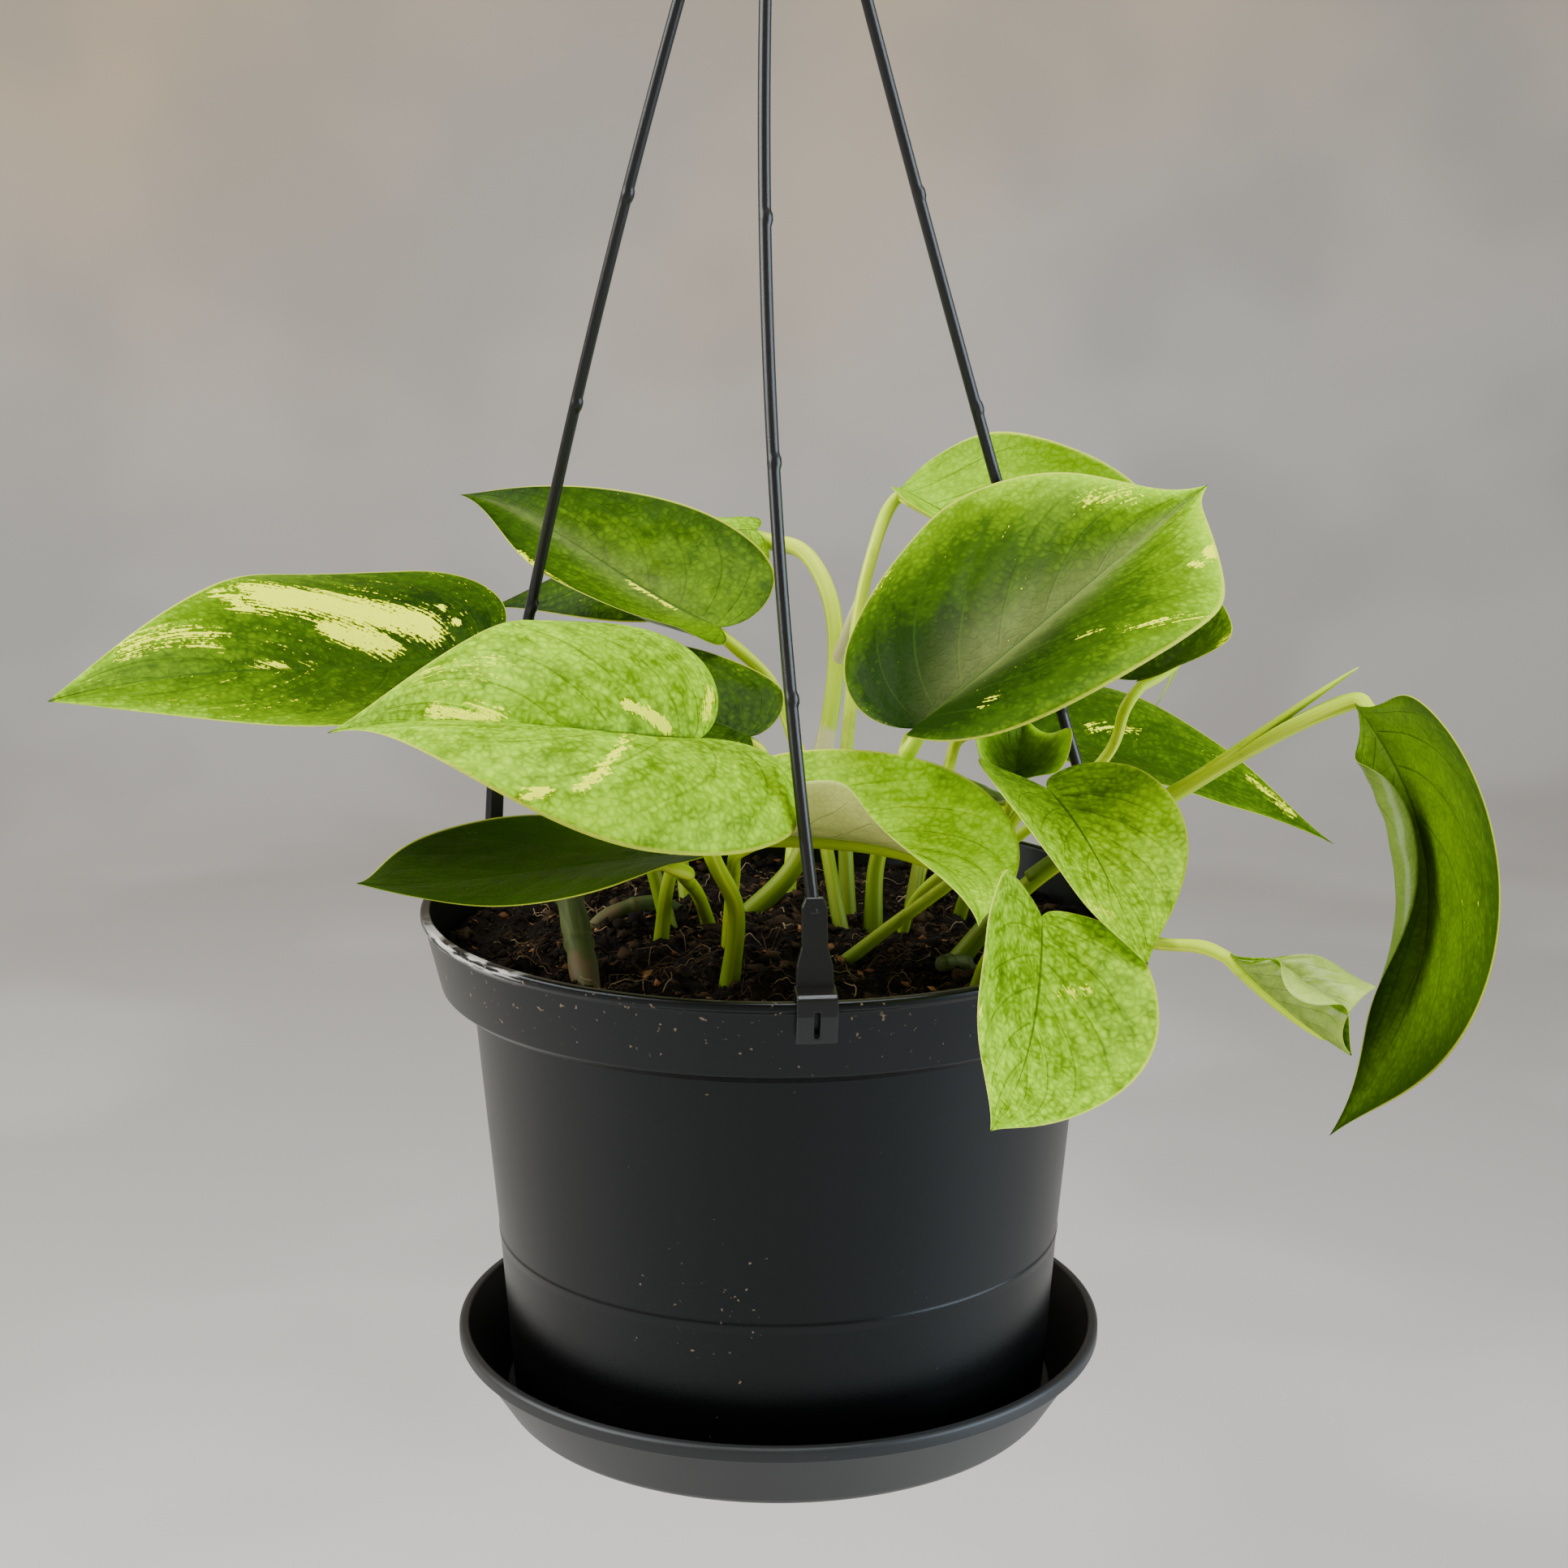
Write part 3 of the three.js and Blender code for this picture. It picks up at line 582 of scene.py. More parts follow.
# %% [markdown]
# The sheet is closed: the upper and the lower side have the same grid, a strip joins them round the margin,
# and at the base and the tip both end in one point. All blades share these faces, because only their points
# differ.

# %% Faces of a closed sheet
def blade_faces():
    """Quads of both sides and of the margin, and the triangles that close the base and the tip."""
    columns = 2 * HALF_COLUMNS + 1
    count = ROWS * columns
    upper = grid_faces(ROWS, columns)
    lower = upper[:, ::-1] + count
    rows = np.arange(ROWS - 1) * columns
    first = np.stack([rows, rows + columns, rows + columns + count, rows + count], axis=-1)
    last = first[:, ::-1] + columns - 1
    base, tip = 2 * count, 2 * count + 1
    edge = np.arange(columns - 1)
    far = count - columns + edge
    fans = [
        fan_faces(base, edge + 1, edge), fan_faces(base, edge + count, edge + count + 1),
        fan_faces(tip, far, far + 1), fan_faces(tip, far + count + 1, far + count),
    ]
    ring = [[base, 0, count], [base, count + columns - 1, columns - 1]]
    ring += [[tip, 2 * count - columns, count - columns], [tip, count - 1, 2 * count - 1]]
    return np.concatenate([upper, lower, first, last]), np.concatenate([*fans, ring])


print("quads and triangles of a blade:", [len(faces) for faces in blade_faces()])

# %% [markdown]
# The yellow marbling of this plant lies in strokes that follow the veins, as if drawn with a half dry
# brush. So each stroke is a line in the leaf's own (v, u), and a vertex is the paler the nearer it is. The
# shader later breaks the strokes up into streaks.

# %% Strokes of marbling
STROKE_MARKS = 24


def streak_field(leaf, points, half):
    """How pale each vertex is: the strength of the nearest brush stroke, fading with its distance.

    A stroke is a side, a line of (v, u) places on the blade, a half width in millimetres and a strength."""
    pale = np.zeros(half.shape)
    for side, line, width, strength in leaf["pale"]:
        v, u = np.array(line, float).T
        marks = blade_points(leaf, np.full(len(v), float(side)), v, u)
        marks = np.vstack([evenly(marks, STROKE_MARKS), marks]) if len(marks) > 1 else marks
        away = np.linalg.norm(points[:, :, None] - marks, axis=-1).min(axis=-1)
        pale = np.maximum(pale, strength * np.exp(-((away / width) ** 2)) * (half == side))
    return pale


print("a stroke keeps", round(float(np.exp(-1.0)), 2), "of its strength at its half width")

# %% [markdown]
# The other numbers say how light the green is at this place, how much painted grey sheen of reflected light
# lies on it, and whether it is the underside. The UV pair is the place across the blade and the vein, so
# that a texture stretched along one of them runs as the veins do.

# %% What a blade carries for its looks
PAINTED_SHEEN_SPREAD = 0.22


def store_looks(obj, leaf, seed, v, c, plain):
    """The UV pair (across, vein), and the numbers that the leaf's material reads at each vertex.

    tone goes from the base's to the tip's along the blade, and to the margin's with the cube of u."""
    half, u = np.where(c < 0, -1.0, 1.0), np.abs(c)
    uv = np.stack([0.5 + 0.5 * c, vein_of(v, u)], axis=-1).reshape(-1, 2)
    set_uv(obj, np.vstack([uv, uv, [[0.5, 0.0], [0.5, 1.0]]]))
    base_tone, tip_tone, edge_tone = leaf["tone"]
    along = np.clip(v * v * (1 - u) + margin(leaf, v)[0] * u, 0, 1)
    tone = base_tone + (tip_tone - base_tone) * along + (edge_tone - base_tone) * u**3
    # The sheen number: a painted highlight, grey-green reflected light along the midrib.
    bloom = leaf["bloom"] * np.exp(-((u / PAINTED_SHEEN_SPREAD) ** 2)) * np.clip(along * 4, 0, 1)
    pale = streak_field(leaf, plain, half)
    pale, tone, bloom = (np.concatenate([f.ravel(), f.ravel(), [0, 0]]) for f in (pale, tone, bloom))
    under = np.concatenate([np.zeros(v.size), np.ones(v.size), [0.5, 0.5]])
    set_values(
        obj, pale=pale, tone=tone, bloom=bloom, under=under,
        pallor=leaf["pallor"], fleck=leaf["fleck"], mottle=leaf["mottle"], seed=float(seed),
    )


print("the bloom lies on", round(100 * PAINTED_SHEEN_SPREAD), "percent of each half")

# %% [markdown]
# The sheet's thickness isn't the same all over: it is about a third of a millimetre beside the midrib and
# thins to the margin, and the midrib itself is thicker, as the stalk runs on in it.

# %% The sheet's thickness
EDGE_THICKNESS = 0.12
MIDDLE_GAIN = 0.22
RIB_GAIN = 0.45
RIB_WIDTH = 1.3


def thickness(leaf, u):
    """The margin's thickness, plus a gain that grows towards the midrib, plus the rib's own bell."""
    size = leaf["width"] / PLAIN_WIDTH
    rib = RIB_GAIN * size * np.exp(-((u * leaf["width"] / RIB_WIDTH) ** 2))
    return EDGE_THICKNESS + MIDDLE_GAIN * (1 - u) + rib


print("at margin and midrib:", [round(float(thickness(sample_leaf, u)), 2) for u in (1.0, 0.0)], "mm")

# %% [markdown]
# The relief could carry a leaf's outermost point past the frame's box by a fraction of a millimetre, so
# every finished point is drawn back to that box.

# %% Staying inside the frame's box
def keep_inside(points):
    """The nearest places that lie within the box of the frame, in millimetres from the rim."""
    low, high = (np.array(corner) / MM + (0, 0, RIM_DROP) for corner in cad_box)
    return np.clip(points, low, high)


far_corners = np.array([[-999.0] * 3, [999.0] * 3])
print("the box runs from and to", keep_inside(far_corners).round(1).tolist(), "mm")

# %% [markdown]
# A finished blade is two sheets a hair apart. A modifier could thicken a single sheet, but it couldn't
# thin the margin, so both sides are worked out here, each half a thickness away from the middle.

# %% A whole blade
def add_blade(name, leaf, seed):
    """Upper and lower grids of one blade, joined round the margin and closed by a point at each end."""
    v, c = blade_grid()
    half, u = np.where(c < 0, -1.0, 1.0), np.abs(c)
    plain = blade_points(leaf, half, v, u)
    middle = blade_points(leaf, half, v, u, blade_relief(leaf, seed, v, c))
    normal = unit(np.cross(np.gradient(middle, axis=1), np.gradient(middle, axis=0)))
    thick = (thickness(leaf, u) * 0.5)[..., None]
    above, below = middle + normal * thick, middle - normal * thick
    ends = midrib(leaf, np.array([0.0, 1.0]))[0]
    points = keep_inside(np.vstack([above.reshape(-1, 3), below.reshape(-1, 3), ends]))
    obj = add_mesh(name, points, *blade_faces())
    fix_normals(obj)
    store_looks(obj, leaf, seed, v, c, plain)
    return obj


print("a blade has", 2 * blade_grid()[0].size + 2, "vertices")

# %% [markdown]
# ## Shader maths written as Python
#
# A material's graph is easier to read as a formula. A small class wraps a socket, so that a sum or a
# product of two values adds the Math node itself. Every other node comes from one method.

# %% A number that varies over a surface
class Value:
    """A number that varies over a surface. Operators add Math nodes to its material."""

    def __init__(self, shader, socket):
        self.shader = shader
        self.socket = socket

    def maths(self, operation, *others):
        """A Math node fed with the given values, in their order."""
        node = self.shader.tree.nodes.new("ShaderNodeMath")
        node.operation = operation
        for socket, value in zip(node.inputs, others):
            self.shader.feed(socket, value)
        return Value(self.shader, node.outputs[0])

    def __add__(self, other):
        return self.maths("ADD", self, other)

    def __radd__(self, other):
        return self.maths("ADD", other, self)

    def __sub__(self, other):
        return self.maths("SUBTRACT", self, other)

    def __mul__(self, other):
        return self.maths("MULTIPLY", self, other)

    def __abs__(self):
        return self.maths("ABSOLUTE", self)

    def wrap(self):
        """The part after the point: a saw tooth from 0 to 1."""
        return self.maths("FRACT", self)

    def rise(self, low, high):
        """0 below low, 1 above high and a smooth step between; low above high turns it round."""
        inputs = {"Value": self, "From Min": low, "From Max": high}
        settings = {"interpolation_type": "SMOOTHSTEP"}
        return self.shader.node("ShaderNodeMapRange", settings, inputs, "Result")

    def most(self, other):
        """The larger of two values."""
        return self.maths("MAXIMUM", self, other)


print("what a value can do by name:", [name for name in vars(Value) if not name.startswith("_")])

# %% [markdown]
# A material is then a Principled surface plus what feeds it. One method adds any kind of node, and another
# links what varies over the surface. What is the same all over is set on the surface itself.

# %% A material and its nodes
class Graph:
    """One material: a Principled surface and the nodes that feed it."""

    def __init__(self, name, **constants):
        self.material = bpy.data.materials.new(name)
        self.material.use_nodes = True
        self.tree = self.material.node_tree
        self.tree.nodes.clear()
        self.surface = self.tree.nodes.new("ShaderNodeBsdfPrincipled")
        for socket, value in constants.items():
            self.surface.inputs[socket.replace("_", " ")].default_value = value
        output = self.tree.nodes.new("ShaderNodeOutputMaterial")
        self.tree.links.new(self.surface.outputs["BSDF"], output.inputs["Surface"])

    def feed(self, socket, value):
        """A value or a link into a socket."""
        if isinstance(value, Value):
            self.tree.links.new(value.socket, socket)
        else:
            socket.default_value = value

    def node(self, kind, settings=None, inputs=None, output=0):
        """A node of the given type: its settings first, then its sockets. Returns one of its outputs."""
        node = self.tree.nodes.new(kind)
        for key, value in (settings or {}).items():
            if key == "stops":
                self.set_stops(node.color_ramp, value)
            else:
                setattr(node, key, value)
        for key, value in (inputs or {}).items():
            self.feed(node.inputs[key], value)
        return Value(self, node.outputs[output])

    def set_stops(self, ramp, stops):
        """The places and colours of a ramp."""
        while len(ramp.elements) < len(stops):
            ramp.elements.new(0.5)
        for element, (place, colour) in zip(ramp.elements, stops):
            element.position = place
            element.color = (*colour, 1)

    def finish(self, colour, roughness=None, normal=None):
        """Links what varies over the surface and returns the material."""
        self.feed(self.surface.inputs["Base Color"], colour)
        if roughness is not None:
            self.feed(self.surface.inputs["Roughness"], roughness)
        if normal is not None:
            self.feed(self.surface.inputs["Normal"], normal)
        return self.material


print("what a graph can do:", [name for name in vars(Graph) if not name.startswith("_")])

# %% [markdown]
# What a finish needs from Blender comes to about a dozen kinds of node. Each gets a method with a plain
# name, so that a material further down reads like its recipe. Colours can't go through Math nodes, so they
# have methods of their own, a ramp and a mix.

# %% What can be added to a graph
class Shader(Graph):
    """A graph with the places, textures and colours that the finishes below are made of."""

    def place(self, kind="Object"):
        """The coordinates of a surface point in metres, or its UV pair."""
        return self.node("ShaderNodeTexCoord", output=kind)

    def parts(self, vector):
        """The three numbers of a vector."""
        node = self.tree.nodes.new("ShaderNodeSeparateXYZ")
        self.feed(node.inputs[0], vector)
        return [Value(self, socket) for socket in node.outputs]

    def vector(self, x=0.0, y=0.0, z=0.0):
        """Three numbers as one place, so that a texture can be stretched."""
        return self.node("ShaderNodeCombineXYZ", None, {"X": x, "Y": y, "Z": z})

    def number(self, name):
        """One of the numbers that the mesh stores at its vertices."""
        return self.node("ShaderNodeAttribute", {"attribute_name": name}, None, "Fac")

    def noise(self, vector, scale, detail, w=0.0):
        """Smooth noise from 0 to 1, another one for each w."""
        inputs = {"Vector": vector, "W": w, "Scale": scale, "Detail": detail}
        return self.node("ShaderNodeTexNoise", {"noise_dimensions": "4D"}, inputs, "Fac")

    def cells(self, vector, scale):
        """Distance to the nearest border of a net of cells."""
        settings = {"feature": "DISTANCE_TO_EDGE"}
        return self.node("ShaderNodeTexVoronoi", settings, {"Vector": vector, "Scale": scale}, "Distance")

    def ramp(self, value, stops):
        """The colour at a value between the stops."""
        return self.node("ShaderNodeValToRGB", {"stops": stops}, {"Fac": value}, "Color")

    def mix(self, share, first, second):
        """The first colour where share is 0, the second where it is 1."""
        node = self.tree.nodes.new("ShaderNodeMix")
        node.data_type = "RGBA"
        self.feed(node.inputs[0], share)
        for socket, colour in ((node.inputs[6], first), (node.inputs[7], second)):
            self.feed(socket, colour if isinstance(colour, Value) else (*colour, 1))
        return Value(self, node.outputs[2])

    def bump(self, height, distance, strength):
        """A normal bent by a height, with distance in metres."""
        inputs = {"Height": height, "Distance": distance, "Strength": strength}
        return self.node("ShaderNodeBump", None, inputs)


print("what a shader can add:", [name for name in vars(Shader) if not name.startswith("_")])

# %% [markdown]
# ## Living green
#
# The leaf's colour is built in layers: a dark or a lime green by the leaf's age (on one leaf lifted by the
# midrib as painted light), a mottle, a net of fine veins, then streaks of pale yellow that run along the
# side veins as marbling does, and a painted grey sheen of reflected light along the midrib. Its underside is
# paler and duller, and lighter still where a painted glow stands for light shining through it. Its margin
# has a fine pale edge, partly a painted highlight, and its gloss is the soft shine of wax.

# %% The leaf's colours
GREENS = [
    (0.00, (0.008, 0.026, 0.001)), (0.25, (0.034, 0.084, 0.001)), (0.50, (0.115, 0.240, 0.000)),
    (0.75, (0.290, 0.560, 0.000)), (1.00, (0.480, 0.820, 0.000)),
]
VEIN_GREEN = (0.030, 0.075, 0.004)
MARBLE = (0.870, 0.980, 0.000)
# A painted highlight: the grey-green sheen of reflected light along a midrib.
PAINTED_SHEEN = (0.300, 0.360, 0.110)
# The margin's pale line: partly its own colour, partly a painted highlight where the edge catches light.
MARGIN_PALE_AND_HIGHLIGHT = (0.620, 0.700, 0.060)
# The underside's ramp. Its lightest stops are painted glow, standing for light that shines through the thin
# blade.
UNDER_STOPS = [
    (0.10, (0.080, 0.140, 0.015)), (0.40, (0.170, 0.260, 0.040)), (0.70, (0.520, 0.720, 0.120)),
    (1.00, (0.900, 0.980, 0.280)),
]
print("stops of the upper side:", len(GREENS), "and of the underside:", len(UNDER_STOPS))

# %% [markdown]
# The mottle has three causes on a real leaf: patches of older and younger green, the net of the finest
# veins with its lighter fields, and streaks along the side veins. Each is a texture of its own scale. All
# that the material reads is gathered first, so the formulas after it stay short.

# %% What the leaf's material reads
NET_SCALE = 430.0  # fields of the net of fine veins in a metre


def read_leaf(s):
    """The place, the stored numbers, the textures in metres and those stretched along the veins."""
    read = SimpleNamespace(place=s.place())
    for name in ("seed", "tone", "pale", "under", "bloom", "fleck", "mottle", "pallor"):
        setattr(read, name, s.number(name))
    across, vein, _ = s.parts(s.place("UV"))
    read.out = abs(across - 0.5) * 2.0
    read.patchy = s.noise(read.place, 45.0, 3.0, read.seed)
    read.dapple = s.noise(read.place, 290.0, 3.0, read.seed)
    read.crumble = s.noise(read.place, 900.0, 2.0, read.seed)
    read.streaky = s.noise(s.vector(across * 4.0, vein * 30.0), 1.0, 3.0, read.seed)
    read.fine = s.noise(s.vector(across * 9.0, vein * 120.0), 1.0, 2.0, read.seed)
    read.veiled = s.noise(s.vector(across * 10.0, vein * 26.0), 1.0, 3.0, read.seed)
    read.net = s.cells(read.place, NET_SCALE)
    line = abs((vein * float(SIDE_VEINS)).wrap() - 0.5) * 2.0
    read.side_vein = line.rise(0.90, 1.0) * read.out.rise(1.0, 0.6) * read.out.rise(0.02, 0.08)
    return read


print("a field of the net is about", round(1000 / NET_SCALE, 1), "mm wide")

# %% [markdown]
# Together the textures shift the place on the ramp of greens, so that a lighter spot is also a yellower
# one. The veins and a painted grey sheen of reflected light are laid over that.

# %% The green of the upper side
def upper_green(s, read):
    """Ramp of tone + mottle, then the darker veins, then the painted grey sheen of reflected light."""
    sway = (read.patchy - 0.5) * 0.50 + (read.dapple - 0.5) * 0.60 + (read.veiled - 0.5) * 0.60
    pool = read.net.rise(0.02, 0.42) - 0.5
    green = s.ramp(read.tone + (sway + pool * 0.16) * read.mottle, GREENS)
    green = s.mix(read.net.rise(0.12, 0.0) * 0.10 + read.side_vein * 0.44, green, VEIN_GREEN)
    # The grey-green sheen by the midrib is a painted highlight of reflected light.
    return s.mix(read.bloom * (0.65 + read.dapple * 0.5), green, PAINTED_SHEEN)


print("lightest green:", GREENS[-1][1])

# %% [markdown]
# The stored strokes have smooth borders. A grain along the veins is added to them before a steep step, so
# that a stroke frays into streaks and scatters flecks, as it does where two tissues of the leaf meet.

# %% Marbling, midrib and margin
def marbled(s, read, green):
    """Yellow where stroke + grain passes a step, then the midrib's line and the pale margin, partly a
    painted highlight.
    """
    grain = (read.streaky - 0.5) * 1.0 + (read.fine - 0.5) * 1.5 + (read.crumble - 0.5) * 1.1
    marbling = (read.pale * 0.95 + grain).rise(0.50, 0.60)
    flecks = (read.fleck * 0.34 + grain).rise(0.60, 0.68) * 0.85
    green = s.mix(marbling.most(flecks), green, MARBLE)
    green = s.mix(read.out.rise(0.026, 0.008) * 0.8, green, VEIN_GREEN)
    # The pale margin is partly the leaf's own colour and partly a painted highlight along the edge.
    return s.mix(read.out.rise(0.972, 0.995) * 0.8, green, MARGIN_PALE_AND_HIGHLIGHT)


print("marbling yellow:", MARBLE)

# %% [markdown]
# All blades share one material. The numbers on their vertices give each its own look, and the greens
# stay of one family, as on a single plant.

# %% The leaf's material
def leaf_material():
    """Both sides, mixed by which one it is, with a gloss and a fine bump that differ between them."""
    s = Shader("leaf", Specular_IOR_Level=0.03, Coat_Roughness=0.22)
    read = read_leaf(s)
    green = marbled(s, read, upper_green(s, read))
    # The underside is paler. The number that shifts it also paints the glow of light shining through the
    # blade.
    back = s.ramp(read.tone + read.pallor + (read.dapple - 0.5) * 0.2, UNDER_STOPS)
    back = s.mix((read.side_vein + read.net.rise(0.09, 0.0) * 0.4) * 0.25, back, VEIN_GREEN)
    colour = s.mix(read.under, green, back)
    roughness = 0.44 + (read.dapple - 0.5) * 0.2 + read.under * 0.10
    s.feed(s.surface.inputs["Coat Weight"], read.under * 0.30 + read.bloom * 0.10 + 0.02)
    height = read.net.rise(0.0, 0.20) * 0.3 + read.dapple * 0.9 - read.side_vein * 0.7
    return s.finish(colour, roughness, s.bump(height, 0.00028, 0.7))


LEAF_MATERIAL = leaf_material()
print("nodes of the leaf's material:", len(LEAF_MATERIAL.node_tree.nodes))

# %% [markdown]
# ## Stalks, old vine and sheaths
#
# A stalk is pale green with long lighter stripes, because the marbling runs on down from the blade. The
# old vine is duller and corky, and a dried sheath is straw-coloured paper.

# %% The stems' materials
STALK_GREEN = (0.490, 0.700, 0.000)
STALK_PALE = (0.860, 0.980, 0.070)
# Painted shade: the deep green that darkens a green stalk towards the soil.
STALK_FOOT_SHADE = (0.060, 0.120, 0.006)
CORK = (0.110, 0.075, 0.035)
STRAW = (0.560, 0.470, 0.260)


def stem_material(name, base, stripe, foot_colour_and_shade, corky=0.0, roughness=0.40):
    """Base colour, pale stripes along the stem, a colour towards its foot and corky spots. On the green
    stalk the foot colour is painted shade near the soil; on the vine and the sheath it is their cork and
    straw.
    """
    s = Shader(name, Specular_IOR_Level=0.22)
    place = s.place()
    round_it, along, _ = s.parts(s.place("UV"))
    stripes = s.noise(s.vector(round_it * 9.0, along * 2.2), 1.0, 2.0)
    grain = s.noise(place, 420.0, 3.0)
    blotch = s.noise(place, 60.0, 2.0)
    colour = s.mix(stripes.rise(0.50, 0.64) * 0.8, base, stripe)
    # Towards the foot the colour goes to the foot colour: painted shade on the green stalks, cork and straw
    # on the vine and the sheath.
    colour = s.mix(along.rise(0.50, 0.05) * 0.85, colour, foot_colour_and_shade)
    colour = s.mix((blotch + grain * 0.3).rise(0.74, 0.86) * (0.25 + corky), colour, CORK)
    return s.finish(colour, roughness + grain * 0.15, s.bump(grain + stripes, 0.00012, 0.5))


STALK_MATERIAL = stem_material("stalk", STALK_GREEN, STALK_PALE, STALK_FOOT_SHADE)
VINE_MATERIAL = stem_material("vine", (0.048, 0.070, 0.014), (0.100, 0.125, 0.030), CORK, 0.6, 0.55)
SHEATH_MATERIAL = stem_material("sheath", (0.560, 0.580, 0.220), STRAW, STRAW, 0.5, 0.6)
print("materials so far:", [material.name for material in bpy.data.materials])

# %% [markdown]
# ## The leaves and their stalks
#
# The rows repeat the frame's leaves, in millimetres: base and tip of the midrib, the way the upper
# side faces, the bends, and the stalk's foot and way up. What a row doesn't say is as in the plain leaf.
# Six leaves reach over the rim to the left. The two large ones in front are the most marbled, and the
# lowest one hangs in their shade.

# %% Rows of the left leaves
LEAVES = dict(
    far_left=dict(
        base=(-80, -6, 72), tip=(-181, -80, 72), face=(0.2, -0.5, 0.85), arch=5, bow=-4, skew=-1.2,
        width=50, belly=0.23, point=0.3, fold=4, right=(-28, -28), left=(45, 45), twist=4,
        foot=(-31, 11), way=[(-38, 13, 12), (-52, 18, 42), (-66, 14, 62)],
    ),
    front_left=dict(
        base=(-20, -63, 59), tip=(-112, -80, 64), face=(0.22, -0.35, 0.9), arch=13, bow=-14, skew=-0.3,
        width=48, belly=0.29, fold=34, right=(-62, -62), left=(-72, -72),
        foot=(-13, -42), way=[(-11, -46, 10), (-16, -53, 23), (-19, -58, 34)], stalk=2.5,
    ),
    upper_left=dict(
        base=(-17.3, 36, 71), tip=(-95.8, 78, 104.1), face=(0, -0.45, 0.88), arch=5, bow=-2, skew=-1.2,
        width=33, lobe=0.1, belly=0.14, point=0.08, fold=14, right=(-7, -7), left=(45, 45), twist=30,
        foot=(18, 6), way=[(10, 24, 26), (4, 35, 39), (-2, 41, 54)],
    ),
    back_left=dict(
        base=(-7.2, 84, 92.6), tip=(-90.7, 100, 65.9), face=(0, -0.6, 0.8), arch=9, bow=-4, skew=0.6,
        width=26, lobe=0.06, fold=-10, right=(-70, -70), left=(-50, -50), twist=-10,
        foot=(-10, 26), stalk=2.6, sheath=(0.5, (23.9, 50, 79.4)),
        way=[(6, 30, 3), (13, 42, 33), (16, 48, 48), (17, 54, 62), (15.2, 62, 76), (7.1, 76, 88)],
    ),
    behind_left=dict(
        base=(-8, -3, 47), tip=(-54, -27, 62), face=(0.05, -0.6, 0.8), arch=-5, bow=12, skew=0.2,
        width=25, lobe=0.1, belly=0.27, fold=9, right=(-12, -12), left=(0, 0), twist=-8,
        foot=(-33, -2), way=[(-30, -3, 8), (-20, -5, 28)],
    ),
    low_left=dict(
        base=(-30, -58, 27), tip=(-101, -112, 34), face=(-0.2, 0.05, 1), arch=-3, bow=14, skew=-0.5,
        width=35, belly=0.21, point=0.14, fold=2, right=(20, 20), left=(2, 2), twist=28,
        foot=(-19, 9), way=[(-22, -6, 2), (-26, -34, 16)],
    ),
)
print("rows so far:", len(LEAVES))

# %% [markdown]
# ### The leaves in the middle and behind on the right
#
# The large one shows its whole upper side. Two stand behind it, one grows out under it, one folds down
# towards the rim, and the youngest is still curled like a bowl.

# %% Rows of the middle leaves
LEAVES |= dict(
    big_right=dict(
        base=(36, -40, 57), tip=(120, 20, 114), face=(-0.6, -0.46, 0.65), arch=3, bow=5, skew=-0.2,
        width=49, lobe=0.08, belly=0.42, point=0.15, fold=30, right=(-38, -38), left=(-40, -40),
        twist=-30, foot=(27, 10), way=[(28, 12, 8), (34, 6, 28), (35, -8, 43), (36, -22, 51)], stalk=2.4,
    ),
    top_back=dict(
        base=(36, 62, 108), tip=(116.5, 92, 36.2), face=(0.5, -0.35, 0.8), arch=31, bow=30, skew=-0.4,
        width=18, slim=1.9, lobe=0.01, belly=0.27, fold=18, right=(20, 10), left=(70, 42), twist=-24,
        foot=(20, 17), way=[(19, 27, 28), (21, 36, 50), (23, 44, 73), (28, 50, 93)], stalk=2.2,
    ),
    under_right=dict(
        base=(100.4, 3, 61.9), tip=(123, 24, 87), face=(-0.6, -0.4, 0.4), arch=-5, bow=2,
        width=24, fold=16, right=(0, 0), left=(0, 0), twist=-4,
        foot=(52, 22), way=[(57, 20, 2), (80, 14, 24), (94, 12, 40)], stalk=1.8,
    ),
    back_right=dict(
        base=(61, 58, 38), tip=(169, 66, -1), face=(0, -0.4, 0.92), arch=5, bow=-2, skew=0.1,
        width=20, slim=1.8, belly=0.28, point=0.09, fold=12, right=(15, 15), left=(-34, -34), twist=-6,
        foot=(38, 26), way=[(42, 34, 6), (50, 48, 26)],
    ),
    curl_centre=dict(
        base=(-4, -47, 30.3), tip=(49.2, -102, 20.2), face=(0.13, -0.26, 0.95), arch=0, bow=-21,
        width=36, lobe=0.12, belly=0.27, point=0.08, fold=6, right=(88, 12), left=(36, 70), twist=26,
        foot=(-14, -20), way=[(-12, -32, 14)],
    ),
    young_curl=dict(
        base=(64.6, -14, 37.4), tip=(68.4, 3, 52), face=(0, -0.8, 0.5), arch=-2,
        width=17, belly=0.45, fold=22, right=(28, 28), left=(28, 28), wave=2.4, waves=3,
        foot=(35, 5), way=[(38, 3, -2), (53, -6, 15), (63, -14, 28)], stalk=1.5,
    ),
)
print("rows so far:", len(LEAVES))

# %% [markdown]
# ### The leaves on the right
#
# Two hang over the front of the rim. The far one has rolled half of its blade over, and the small one
# before it is rolled up almost to a tube.

